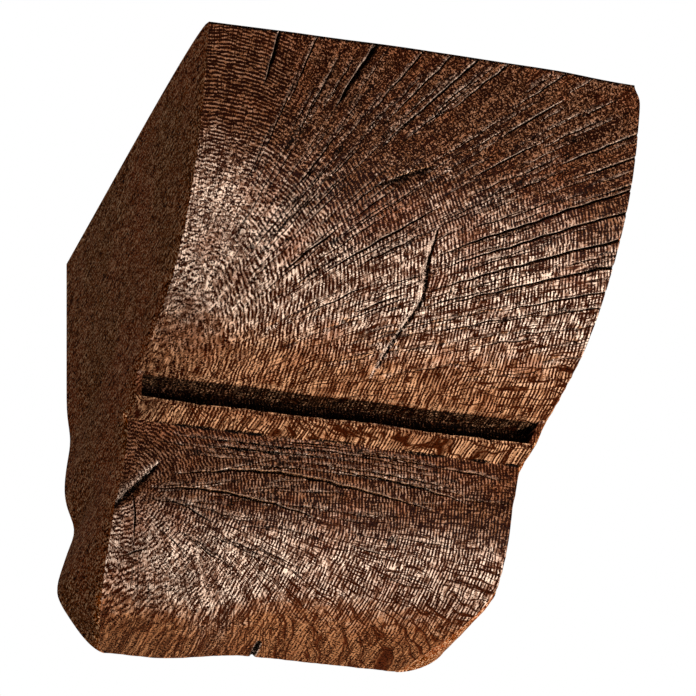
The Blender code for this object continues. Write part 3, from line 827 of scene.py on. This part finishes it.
bend = np.linspace(math.pi / 2, 0.0, 26)
wall_drops = np.concatenate([HEIGHT - LEFT_ARRIS[1] * (1.0 - np.sin(bend))[1:],
                             np.linspace(HEIGHT - LEFT_ARRIS[1], 0.0, 64)[1:]])
top_backs = np.linspace(PROJECTION, 0.0, 86)[1:-1]
edges = {}
for which, column in ((-1, 0.0), (1, WIDTH)):
    picked = np.flatnonzero(sheet[:, 0] == column)
    picked = picked[np.argsort(sheet[picked, 1])]
    arcs = sheet[picked, 1]
    outline = np.stack([np.interp(arcs, ARC, SIDE_OUTLINE[:, axis]) for axis in (0, 1)], 1)
    wall = side(which, wall_drops * 0 + PROJECTION, wall_drops)
    top = side(which, top_backs, top_backs * 0)
    flat = np.vstack([outline, np.stack([wall_drops * 0 + PROJECTION, wall_drops], 1),
                      np.stack([top_backs, top_backs * 0], 1)])
    placed = np.vstack([front_points[picked], wall, top])
    marks = np.vstack([sheet_marks[picked], np.zeros((len(wall) + len(top), len(MARK_NAMES)))])

    def hewn(spots, which=which):
        points = side(which, spots[:, 0], spots[:, 1])
        points[:, 0] += which * (adze(spots, 20.0 + which) - 0.0003)
        return points

    fill(flat, placed, marks, hewn, LONG_GRAIN)
    edges[which] = {"wall": wall, "top": top}
print("triangles with the sides:", len(skin.faces))

# %% The top and the back
REAR_POINTS = 60
top_row = np.flatnonzero(sheet[:, 1] == 0.0)
top_row = top_row[np.argsort(sheet[top_row, 0])]
foot_row = np.flatnonzero(sheet[:, 1] == LENGTH)
foot_row = foot_row[np.argsort(sheet[foot_row, 0])]


def ring_of(parts, marks_of, axes):
    """Joins runs of points into one ring, with its flat form and its marks."""
    placed = np.vstack(parts)
    marks = np.zeros((len(placed), len(MARK_NAMES)))
    marks[:len(marks_of)] = marks_of
    return placed[:, axes], placed, marks


left_wall, right_wall = edges[-1]["wall"], edges[1]["wall"]
rear_across = np.linspace(right_wall[-1][0], left_wall[-1][0], REAR_POINTS)[1:-1]
level_back = [np.zeros(len(rear_across)), np.full(len(rear_across), HEIGHT / 2)]
rear_points = np.stack([rear_across, *level_back], 1)
top_ring = ring_of([front_points[top_row], edges[1]["top"][::-1], right_wall[-1:], rear_points,
                    left_wall[-1:], edges[-1]["top"]], sheet_marks[top_row], [0, 1])
back_ring = ring_of([front_points[foot_row], right_wall, rear_points, left_wall[::-1]],
                    sheet_marks[foot_row], [0, 2])


def sawn_top(spots):
    """The top, with faint saw marks that run towards the wall."""
    laid = np.stack([spots[:, 0], spots[:, 1] / 6.0, spots[:, 0] * 0], 1)
    return np.column_stack([spots, HEIGHT / 2 - 0.00012 + 0.0001 * ripple(laid, 0.004, 31.0)])


def sawn_back(spots):
    """The flat back, on the wall plane."""
    return np.column_stack([spots[:, 0], spots[:, 0] * 0, spots[:, 1]])


fill(*top_ring, sawn_top, LONG_GRAIN)
fill(*back_ring, sawn_back, END_GRAIN)
print("triangles in all:", len(skin.faces))

# %% The timber as one mesh
data = bpy.data.meshes.new("corbel_timber")
data.from_pydata(skin.points, [], skin.faces)
data.polygons.foreach_set("material_index", skin.kinds)
for column, name in enumerate(MARK_NAMES):
    layer = data.attributes.new(name, "FLOAT", "POINT")
    layer.data.foreach_set("value", np.array(skin.marks)[:, column].astype(np.float32))
print("corners:", len(data.vertices), "faces:", len(data.polygons))

# %% Closing and shading the mesh
SHARP_FROM = math.radians(38)
shell = bmesh.new()
shell.from_mesh(data)
# The triangulation can leave a sliver out where two runs of points meet almost in a line
slits = [edge for edge in shell.edges if len(edge.link_faces) == 1]
for face in bmesh.ops.holes_fill(shell, edges=slits, sides=4)["faces"]:
    face.material_index = LONG_GRAIN
bmesh.ops.recalc_face_normals(shell, faces=shell.faces)
loose_edges = sum(len(edge.link_faces) != 2 for edge in shell.edges)
shell.to_mesh(data)
shell.free()
timber = bpy.data.objects.new("corbel_timber", data)
bpy.context.scene.collection.objects.link(timber)
data.shade_smooth()
data.set_sharp_from_angle(angle=SHARP_FROM)
print("edges without two faces:", loose_edges)

# %% [markdown]
# ## Finishes
# Softwood end grain takes a dark stain unevenly. The soft, open wood of each ring drinks it
# and goes nearly black, while the dense line of late wood stays paler and stands proud, so
# every ring shows as a fine light line beside a dark one. The shader itself is hardly glossy:
# the broad sheen on the rolls and the glints on the ridges are painted into the colour.
#
# One small function turns sRGB hex colours into the linear values that shaders use, and one
# more adds any node with its settings and links.

# %% Colours and nodes
def linear(code):
    """A hex sRGB colour as a linear RGBA value."""
    parts = [int(code[start:start + 2], 16) / 255 for start in (1, 3, 5)]
    return tuple(p / 12.92 if p <= 0.04045 else ((p + 0.055) / 1.055) ** 2.4 for p in parts) + (1.0,)


def add(tree, kind, inputs, **settings):
    """Adds one node, with its settings, and gives each input a value or a link."""
    made = tree.nodes.new("ShaderNode" + kind)
    for name, value in settings.items():
        setattr(made, name, value)
    for key, value in inputs.items():
        if isinstance(value, bpy.types.Node):
            value = value.outputs[0]
        if isinstance(value, bpy.types.NodeSocket):
            tree.links.new(value, made.inputs[key])
        else:
            made.inputs[key].default_value = value
    return made


SHADE_AND_SOOT = linear("#050201")
DEEP_STAIN = linear("#160401")
DARK_STAIN = linear("#1e0702")
BROWN_STAIN = linear("#341103")
WARM_STAIN = linear("#401604")
LOW_WARM_STAIN = linear("#53230d")
DULL_RIDGE = linear("#94694f")
RUBBED_SHEEN_RIDGE = linear("#fddcc2")
WARM_RIDGE = linear("#e8ac7e")
DULL_WARM_RIDGE = linear("#be8054")
RUST = linear("#9a5230")
TAN = linear("#b06a3c")
print("brown stain, linear:", [round(value, 3) for value in BROWN_STAIN[:3]])

# %% [markdown]
# ### Stained end grain
# The pattern is drawn from the heart outward. The distance from the heart gives the rings,
# about 1.5 mm apart, and the angle round it gives the rays. Both use the mesh's own coordinates,
# so the pattern stays on the wood from every side. The lower roll was carved closer to the
# wall, where the heart had wandered down the beam, so it has its own centre.

# %% Rings round two hearts
RING = 0.00145
RING_WANDER = 0.0020
SWAY_WAVE = 1 / 45
PART_LINE = HEIGHT / 2 - SOFFIT_DROP - 0.0004

end_grain = bpy.data.materials.new("stained_softwood_end_grain")
end_grain.use_nodes = True
tree = end_grain.node_tree
shader = tree.nodes["Principled BSDF"]

place = add(tree, "TexCoord", {}).outputs["Object"]
split = add(tree, "SeparateXYZ", {0: place})
lower = add(tree, "Math", {0: split.outputs[2], 1: PART_LINE}, operation="LESS_THAN")
heart_x = add(tree, "Math", {0: lower, 1: LOWER_HEART[0] - UPPER_HEART[0],
                             2: UPPER_HEART[0] - WIDTH / 2}, operation="MULTIPLY_ADD")
heart_z = add(tree, "Math", {0: lower, 1: UPPER_HEART[1] - LOWER_HEART[1],
                             2: HEIGHT / 2 - UPPER_HEART[1]}, operation="MULTIPLY_ADD")
sway = add(tree, "TexNoise", {"Vector": place, "Scale": 1.0 / SWAY_WAVE, "Detail": 2.0})
shift = add(tree, "VectorMath", {0: sway.outputs["Color"], 1: (0.5, 0.5, 0.5)}, operation="SUBTRACT")
shift = add(tree, "VectorMath", {0: shift, "Scale": RING_WANDER * 2}, operation="SCALE")
swayed = add(tree, "VectorMath", {0: place, 1: shift}, operation="ADD")
parts = add(tree, "SeparateXYZ", {0: swayed})
from_x = add(tree, "Math", {0: parts.outputs[0], 1: heart_x}, operation="SUBTRACT")
from_z = add(tree, "Math", {0: parts.outputs[2], 1: heart_z}, operation="SUBTRACT")
arm = add(tree, "CombineXYZ", {0: from_x, 2: from_z})
reach = add(tree, "VectorMath", {0: arm}, operation="LENGTH").outputs["Value"]
angle = add(tree, "Math", {0: from_z, 1: from_x}, operation="ARCTAN2")
along = add(tree, "Math", {0: angle, 1: reach}, operation="MULTIPLY")
print("rings are", 1000 * RING, "mm apart")

# %% Blocks between the rays
# Rays split the rings into small blocks that have slipped against each other
BLOCK = 0.0075
BLOCKS_PER_RADIAN = 28.0
SLIP = 0.55
block_turn = add(tree, "Math", {0: angle, 1: BLOCKS_PER_RADIAN}, operation="MULTIPLY")
block_row = add(tree, "Math", {0: reach, 1: 1.0 / BLOCK}, operation="MULTIPLY")
block_place = add(tree, "CombineXYZ", {0: block_turn, 1: block_row})
blocks = add(tree, "TexVoronoi", {"Vector": block_place, "Scale": 1.0})
slip = add(tree, "SeparateXYZ", {0: blocks.outputs["Color"]})
count = add(tree, "Math", {0: reach, 1: 1.0 / RING}, operation="MULTIPLY")
count = add(tree, "Math", {0: slip, 1: SLIP, 2: count}, operation="MULTIPLY_ADD")
swing = add(tree, "Math", {0: count, 1: 0.5}, operation="PINGPONG")
line = add(tree, "MapRange", {"Value": swing, "From Min": 0.16, "From Max": 0.46,
                              "To Min": -0.4, "To Max": 0.6}, interpolation_type="SMOOTHSTEP")
print("blocks are", 1000 * BLOCK, "mm deep")

# %% [markdown]
# The plumb top of the roll kept its stain and is dark. Below it the carving turns under, and
# there a pale sheen is painted on, partly paler rubbed wood and partly painted light from the
# low key. Close above the groove, where it faces down, it is coloured warm and orange. The turn
# of the surface is read from its own normal, so this holds from every side.

# %% How far the carving turns under
LEFT_MARGIN, MARGIN_END = 0.020 - WIDTH / 2, 0.070 - WIDTH / 2
marks = {name: add(tree, "Attribute", {}, attribute_name=name).outputs["Fac"]
         for name in MARK_NAMES}
facing = add(tree, "SeparateXYZ", {0: add(tree, "TexCoord", {}).outputs["Normal"]})
turned = add(tree, "Math", {0: facing.outputs[2], 1: -1.0}, operation="MULTIPLY")
# Painted sheen: faces that turn down towards the low key light, and the left margin, get paler stain
# and paler ridges; part of it is rubbed wood
from_margin = add(tree, "MapRange", {"Value": split.outputs[0], "From Min": LEFT_MARGIN,
                                     "From Max": MARGIN_END})
sheen_turn = add(tree, "Math", {0: from_margin, 1: -0.07, 2: turned}, operation="MULTIPLY_ADD")
sheen_and_rub = add(tree, "MapRange", {"Value": sheen_turn, "From Min": 0.34, "From Max": 0.72},
             interpolation_type="SMOOTHSTEP")
sheen_and_rub = add(tree, "Math", {0: sheen_and_rub, 1: marks["pale"]}, operation="ADD")
sheen_and_rub = add(tree, "Math", {0: marks["dark"], 1: -1.0, 2: sheen_and_rub},
             operation="MULTIPLY_ADD", use_clamp=True)
under = add(tree, "MapRange", {"Value": turned, "From Min": 0.87, "From Max": 0.965},
            interpolation_type="SMOOTHSTEP")
under_low = add(tree, "MapRange", {"Value": turned, "From Min": 0.925, "From Max": 0.99},
                interpolation_type="SMOOTHSTEP")
under = add(tree, "Mix", {0: lower, 2: under, 3: under_low}, data_type="FLOAT")
print("marks read by the finish:", len(marks))

# %% The warm fillet, rust and drift
# The fillet is as warm as the underside, but not where the back has the same height
FILLET_LINE = HEIGHT / 2 - UPPER_DROP - GROOVE_HEIGHT + 0.0003
WALL_LINE = -0.02
RUST_WAVE, DRIFT_WAVE = 1 / 60, 1 / 95
on_fillet = add(tree, "Math", {0: split.outputs[2], 1: FILLET_LINE}, operation="LESS_THAN")
on_fillet = add(tree, "Math", {0: on_fillet, 1: lower}, operation="SUBTRACT")
clear_of_wall = add(tree, "Math", {0: split.outputs[1], 1: WALL_LINE}, operation="LESS_THAN")
on_fillet = add(tree, "Math", {0: on_fillet, 1: clear_of_wall}, operation="MULTIPLY")
under = add(tree, "Math", {0: under, 1: on_fillet}, operation="MAXIMUM")
patches = add(tree, "TexNoise", {"Vector": place, "Scale": 1.0 / RUST_WAVE, "Detail": 3.0,
                                 "Roughness": 0.65})
rusty = add(tree, "MapRange", {"Value": patches, "From Min": 0.50, "From Max": 0.72})
rusty = add(tree, "Math", {0: marks["warm"], 1: rusty}, operation="ADD", use_clamp=True)
drift = add(tree, "TexNoise", {"Vector": place, "Scale": 1.0 / DRIFT_WAVE, "Detail": 2.0,
                               "Roughness": 0.6})
drift = add(tree, "MapRange", {"Value": drift, "From Min": 0.32, "From Max": 0.62,
                               "To Min": 0.65})
print("rust lies in patches of", round(1000 * RUST_WAVE, 1), "mm")

# %% [markdown]
# A ridge of late wood is never one clean line. It is broken into dashes a few millimetres
# long, where rays cross it and where it has crumbled, and pores speckle all of it. So three
# noises are added to the rings: one stretched along them, one stretched along the rays, and
# one even. Where the order mark is low the rings fade out and only the speckle is left. The
# pores of softwood are far too fine to show, so they are drawn at about half a millimetre.

# %% Dashes, rays and pores
DASH = 0.0036
PORE = 0.00055
dash_row = add(tree, "Math", {0: along, 1: 1.0 / DASH}, operation="MULTIPLY")
dash_place = add(tree, "CombineXYZ", {0: count, 1: dash_row})
dashes = add(tree, "TexNoise", {"Vector": dash_place, "Scale": 1.0, "Detail": 1.0, "Roughness": 0.5})
pores = add(tree, "TexNoise", {"Vector": place, "Scale": 1.0 / PORE, "Detail": 1.0,
                               "Roughness": 0.6})
grit = add(tree, "TexNoise", {"Vector": place, "Scale": 0.6 / PORE, "Detail": 0.0})
ray_place = add(tree, "CombineXYZ", {0: angle, 1: reach})
broad = add(tree, "VectorMath", {0: ray_place, 1: (34.0, 20.0, 1.0)}, operation="MULTIPLY")
broad = add(tree, "TexNoise", {"Vector": broad, "Scale": 1.0, "Detail": 2.0, "Roughness": 0.6})
narrow = add(tree, "VectorMath", {0: ray_place, 1: (120.0, 45.0, 1.0)}, operation="MULTIPLY")
narrow = add(tree, "TexNoise", {"Vector": narrow, "Scale": 1.0, "Detail": 1.0, "Roughness": 0.5})
off_line = add(tree, "Math", {0: narrow, 1: 0.5}, operation="SUBTRACT")
off_line = add(tree, "Math", {0: off_line}, operation="ABSOLUTE")
ray_gap = add(tree, "MapRange", {"Value": off_line, "From Min": 0.004, "From Max": 0.045},
              interpolation_type="SMOOTHSTEP")
print("dashes are", 1000 * DASH, "mm long and pores", 1000 * PORE, "mm wide")

# %% How far the wood stands up
BUMP_HEIGHT = 0.00030
clear = add(tree, "Math", {0: marks["order"], 1: 0.34, 2: 0.06}, operation="MULTIPLY_ADD")
firm = add(tree, "Math", {0: marks["order"], 1: 0.80, 2: 0.30}, operation="MULTIPLY_ADD")
dashes = add(tree, "Math", {0: dashes, 1: 0.5}, operation="SUBTRACT")
rough_pores = add(tree, "Math", {0: grit, 1: 0.5, 2: pores}, operation="MULTIPLY_ADD")
speck = add(tree, "Math", {0: rough_pores, 1: 0.75}, operation="SUBTRACT")
open_grain = add(tree, "Math", {0: marks["order"], 1: -0.45, 2: 1.15}, operation="MULTIPLY_ADD")
speck = add(tree, "Math", {0: speck, 1: open_grain, 2: 0.75}, operation="MULTIPLY_ADD")
stand = add(tree, "Math", {0: dashes, 1: firm, 2: speck}, operation="MULTIPLY_ADD")
stand = add(tree, "Math", {0: line, 1: clear, 2: stand}, operation="MULTIPLY_ADD")
stand = add(tree, "Math", {0: broad, 1: 0.35, 2: stand}, operation="MULTIPLY_ADD")
stand = add(tree, "Math", {0: sheen_and_rub, 1: 0.10, 2: stand}, operation="MULTIPLY_ADD")
ridge = add(tree, "MapRange", {"Value": stand, "From Min": 0.90, "From Max": 1.07},
            interpolation_type="SMOOTHSTEP")
ridge = add(tree, "Math", {0: ridge, 1: ray_gap}, operation="MULTIPLY")
height = add(tree, "Math", {0: broad, 1: 0.8, 2: ridge}, operation="MULTIPLY_ADD")
height = add(tree, "Math", {0: ray_gap, 1: 0.35, 2: height}, operation="MULTIPLY_ADD")
bump = add(tree, "Bump", {"Strength": 1.0, "Distance": BUMP_HEIGHT, "Height": height})
print("the ridges stand up by", 1000 * BUMP_HEIGHT, "mm")

# %% Colours of the hollows and the ridges
rust_share = add(tree, "Math", {0: rusty, 1: 0.6}, operation="MULTIPLY")
hollow = add(tree, "Mix", {0: sheen_and_rub, 6: DARK_STAIN, 7: BROWN_STAIN}, data_type="RGBA")
warm_hollow = add(tree, "Mix", {0: lower, 6: WARM_STAIN, 7: LOW_WARM_STAIN}, data_type="RGBA")
hollow = add(tree, "Mix", {0: under, 6: hollow.outputs[2], 7: warm_hollow.outputs[2]},
             data_type="RGBA")
pit = add(tree, "MapRange", {"Value": rough_pores, "From Min": 0.80, "From Max": 0.62})
hollow = add(tree, "Mix", {0: rust_share, 6: hollow.outputs[2], 7: WARM_STAIN}, data_type="RGBA")
hollow = add(tree, "Mix", {0: pit, 6: hollow.outputs[2], 7: DEEP_STAIN}, data_type="RGBA")
# The pale ridge colours are partly the late wood's own and partly a painted glint; the palest is
# painted sheen
crest = add(tree, "Mix", {0: sheen_and_rub, 6: DULL_RIDGE, 7: RUBBED_SHEEN_RIDGE}, data_type="RGBA")
warm_crest = add(tree, "Mix", {0: lower, 6: WARM_RIDGE, 7: DULL_WARM_RIDGE}, data_type="RGBA")
crest = add(tree, "Mix", {0: under, 6: crest.outputs[2], 7: warm_crest.outputs[2]},
            data_type="RGBA")
crest = add(tree, "Mix", {0: rust_share, 6: crest.outputs[2], 7: RUST}, data_type="RGBA")
cover = add(tree, "Math", {0: ridge, 1: drift}, operation="MULTIPLY")
gleam = add(tree, "TexNoise", {"Vector": dash_place, "Scale": 1.7, "Detail": 0.0})
gleam = add(tree, "MapRange", {"Value": gleam, "From Min": 0.34, "From Max": 0.62,
                               "To Min": 0.38, "To Max": 1.25})
cover = add(tree, "Math", {0: cover, 1: gleam}, operation="MULTIPLY", use_clamp=True)
half_ridge = add(tree, "Mix", {0: cover, 6: TAN, 7: crest.outputs[2]}, data_type="RGBA")
wood = add(tree, "Mix", {0: cover, 6: hollow.outputs[2], 7: half_ridge.outputs[2]},
           data_type="RGBA")
print("nodes so far:", len(tree.nodes))

# %% Painted highlights on rims, and soot with painted shade
# Painted highlight: rims, lips and torn faces are paled in beads, and solidly where the mark is strong
beads = add(tree, "Math", {0: dashes, 1: 0.8, 2: rough_pores}, operation="MULTIPLY_ADD")
polish_and_highlight = add(tree, "MapRange", {"Value": beads, "From Min": 0.68, "From Max": 0.94},
             interpolation_type="SMOOTHSTEP")
full_pale = add(tree, "MapRange", {"Value": marks["wear_and_highlight"], "From Min": 0.75, "From Max": 1.0,
                              "To Max": 0.5})
polish_and_highlight = add(tree, "Math", {0: polish_and_highlight, 1: full_pale}, operation="MAXIMUM")
polish_and_highlight = add(tree, "Math", {0: polish_and_highlight, 1: marks["wear_and_highlight"]}, operation="MULTIPLY")
shine = add(tree, "Mix", {0: 0.35, 6: crest.outputs[2], 7: RUBBED_SHEEN_RIDGE}, data_type="RGBA")
shine = add(tree, "Mix", {0: under, 6: shine.outputs[2], 7: WARM_RIDGE}, data_type="RGBA")
wood = add(tree, "Mix", {0: polish_and_highlight, 6: wood.outputs[2], 7: shine.outputs[2]}, data_type="RGBA")
# Soot and painted shade go nearly black, with pale specks left in them
shade_and_dirt = add(tree, "MapRange", {"Value": marks["soil_and_shade"], "From Min": 0.10, "From Max": 0.52},
           interpolation_type="SMOOTHSTEP")
glint = add(tree, "MapRange", {"Value": rough_pores, "From Min": 0.82, "From Max": 1.00,
                               "To Max": 0.7})
shade_and_dirt = add(tree, "Math", {0: shade_and_dirt, 1: glint}, operation="SUBTRACT", use_clamp=True)
wood = add(tree, "Mix", {0: shade_and_dirt, 6: wood.outputs[2], 7: SHADE_AND_SOOT}, data_type="RGBA")
tree.links.new(wood.outputs[2], shader.inputs["Base Color"])
tree.links.new(bump.outputs[0], shader.inputs["Normal"])
shader.inputs["Roughness"].default_value = 0.50
# A usual sheen, 0.5, greyed the dark stain, so nearly all of it is taken away
shader.inputs["Specular IOR Level"].default_value = 0.02
shader.inputs["IOR"].default_value = 1.5
data.materials.append(end_grain)
print("nodes in the end grain:", len(tree.nodes))

# %% [markdown]
# ### Stained long grain
# Along the sides and the top the same timber shows its fibres as fine streaks that run
# towards the wall. The sides were never brushed, so the stain lies darker and more even,
# with small pale nicks where the adze lifted the grain. Real fibres are too fine to show, so
# the streaks are drawn nearly a millimetre wide.

# %% Long grain
FIBRE = 0.0009
FIBRE_STRETCH = 0.12
NICK = 0.0009
SIDE_WAVE = 1 / 28
long_grain = bpy.data.materials.new("stained_softwood_long_grain")
long_grain.use_nodes = True
tree = long_grain.node_tree
shader = tree.nodes["Principled BSDF"]
place = add(tree, "TexCoord", {}).outputs["Object"]
per_metre = (1.0 / FIBRE, FIBRE_STRETCH / FIBRE, 1.0 / FIBRE)
drawn = add(tree, "VectorMath", {0: place, 1: per_metre}, operation="MULTIPLY")
fibres = add(tree, "TexNoise", {"Vector": drawn, "Scale": 1.0, "Detail": 2.0, "Roughness": 0.6})
nicks = add(tree, "TexNoise", {"Vector": place, "Scale": 1.0 / NICK, "Detail": 2.0,
                               "Roughness": 0.7})
patches = add(tree, "TexNoise", {"Vector": place, "Scale": 1.0 / SIDE_WAVE, "Detail": 4.0,
                                 "Roughness": 0.6})
mixed = add(tree, "Math", {0: fibres, 1: 0.45, 2: nicks}, operation="MULTIPLY_ADD")
dark_nick = add(tree, "MapRange", {"Value": mixed, "From Min": 0.65, "From Max": 0.75},
                interpolation_type="SMOOTHSTEP")
pale_nick = add(tree, "MapRange", {"Value": mixed, "From Min": 0.78, "From Max": 0.86},
                interpolation_type="SMOOTHSTEP")
ruddy = add(tree, "MapRange", {"Value": patches, "From Min": 0.40, "From Max": 0.62})
ground = add(tree, "Mix", {0: ruddy, 6: linear("#984c10"), 7: linear("#ae4f18")}, data_type="RGBA")
wood = add(tree, "Mix", {0: dark_nick, 6: linear("#150400"), 7: ground.outputs[2]}, data_type="RGBA")
wood = add(tree, "Mix", {0: pale_nick, 6: wood.outputs[2], 7: linear("#f0bf92")}, data_type="RGBA")
height = add(tree, "Math", {0: fibres, 1: 0.5, 2: nicks}, operation="MULTIPLY_ADD")
bump = add(tree, "Bump", {"Strength": 0.8, "Distance": 0.0004, "Height": height})
tree.links.new(wood.outputs[2], shader.inputs["Base Color"])
tree.links.new(bump.outputs[0], shader.inputs["Normal"])
shader.inputs["Roughness"].default_value = 0.62
shader.inputs["Specular IOR Level"].default_value = 0.01
shader.inputs["IOR"].default_value = 1.5
data.materials.append(long_grain)
print("nodes in the long grain:", len(tree.nodes))

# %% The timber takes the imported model's place
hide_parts("corbel")
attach(timber, "root")

# %% [markdown]
# ## Floor, light and camera
# The corbel is seen from the lower left, so the floor lies well below the camera and keeps
# out of the picture, and the background is the plain white of the studio. A broad key light
# stands low at the front right: it brings out the turn of the rolls, catches the upper left
# edge of each check, and leaves the left side in shade.

# %% Floor
FLOOR_HEIGHT = -1.6
FLOOR_REACH = 4.0
floor_mesh = bmesh.new()
bmesh.ops.create_grid(floor_mesh, x_segments=1, y_segments=1, size=FLOOR_REACH)
floor_data = bpy.data.meshes.new("studio_floor")
floor_mesh.to_mesh(floor_data)
floor_mesh.free()
floor = bpy.data.objects.new("studio_floor", floor_data)
floor.location = (0.0, 0.0, FLOOR_HEIGHT)
bpy.context.scene.collection.objects.link(floor)
paint = bpy.data.materials.new("pale_studio_paint")
paint.use_nodes = True
matt = paint.node_tree.nodes["Principled BSDF"]
matt.inputs["Base Color"].default_value = linear("#d8d6d2")
matt.inputs["Roughness"].default_value = 0.9
floor_data.materials.append(paint)
print("floor, metres below the block:", -FLOOR_HEIGHT)

# %% White surround, and less light from it
SURROUND_LIGHT = 0.175
world = bpy.data.worlds.new("white_studio")
bpy.context.scene.world = world
world.use_nodes = True
tree = world.node_tree
seen = add(tree, "LightPath", {}).outputs["Is Camera Ray"]
strength = add(tree, "MapRange", {"Value": seen, "To Min": SURROUND_LIGHT, "To Max": 1.0})
background = tree.nodes["Background"]
background.inputs["Color"].default_value = (1.0, 1.0, 1.0, 1.0)
tree.links.new(strength.outputs[0], background.inputs["Strength"])
bpy.context.scene.view_settings.view_transform = "Standard"
print("the surround lights the block with", SURROUND_LIGHT, "of its white")


# %% Lamps
def softbox(name, spot, aim, size, power):
    """A square soft light at a spot, turned towards its aim."""
    lamp = bpy.data.lights.new(name, "AREA")
    lamp.size = size
    lamp.energy = power
    holder = bpy.data.objects.new(name, lamp)
    holder.location = spot
    holder.rotation_mode = "QUATERNION"
    holder.rotation_quaternion = (Vector(aim) - Vector(spot)).to_track_quat("-Z", "Y")
    bpy.context.scene.collection.objects.link(holder)


MIDDLE = (0.0, -0.10, 0.0)
softbox("key_light", (0.75, -1.15, -1.05), MIDDLE, 0.40, 39.0)
softbox("fill_light", (-0.3, -2.0, 0.3), MIDDLE, 0.8, 3.0)
print("lamps:", [lamp.name for lamp in bpy.data.lights])

# %% Camera
# Its place and turn were worked out from the block's own corners in the picture.
CAMERA_SPOT = Vector((-0.5713, -1.7159, -0.8664))
CAMERA_YAW, CAMERA_PITCH, CAMERA_ROLL = (math.radians(d) for d in (19.537, 27.140, -1.838))
LENS_PIXELS, PICTURE_PIXELS, SENSOR_MM = 4500.0, 696.0, 36.0

ahead = Vector((math.sin(CAMERA_YAW) * math.cos(CAMERA_PITCH),
                math.cos(CAMERA_YAW) * math.cos(CAMERA_PITCH), math.sin(CAMERA_PITCH)))
level = Vector((math.cos(CAMERA_YAW), -math.sin(CAMERA_YAW), 0.0))
rise = level.cross(ahead)
right = math.cos(CAMERA_ROLL) * level + math.sin(CAMERA_ROLL) * rise
up = math.cos(CAMERA_ROLL) * rise - math.sin(CAMERA_ROLL) * level
camera = bpy.data.objects.new("camera", bpy.data.cameras.new("camera"))
camera.data.sensor_width = SENSOR_MM
camera.data.lens = LENS_PIXELS / PICTURE_PIXELS * SENSOR_MM
turn = Matrix((right, up, -ahead)).transposed().to_4x4()
camera.matrix_world = Matrix.Translation(CAMERA_SPOT) @ turn
bpy.context.scene.collection.objects.link(camera)
bpy.context.scene.camera = camera
print("lens, mm:", round(camera.data.lens, 1))
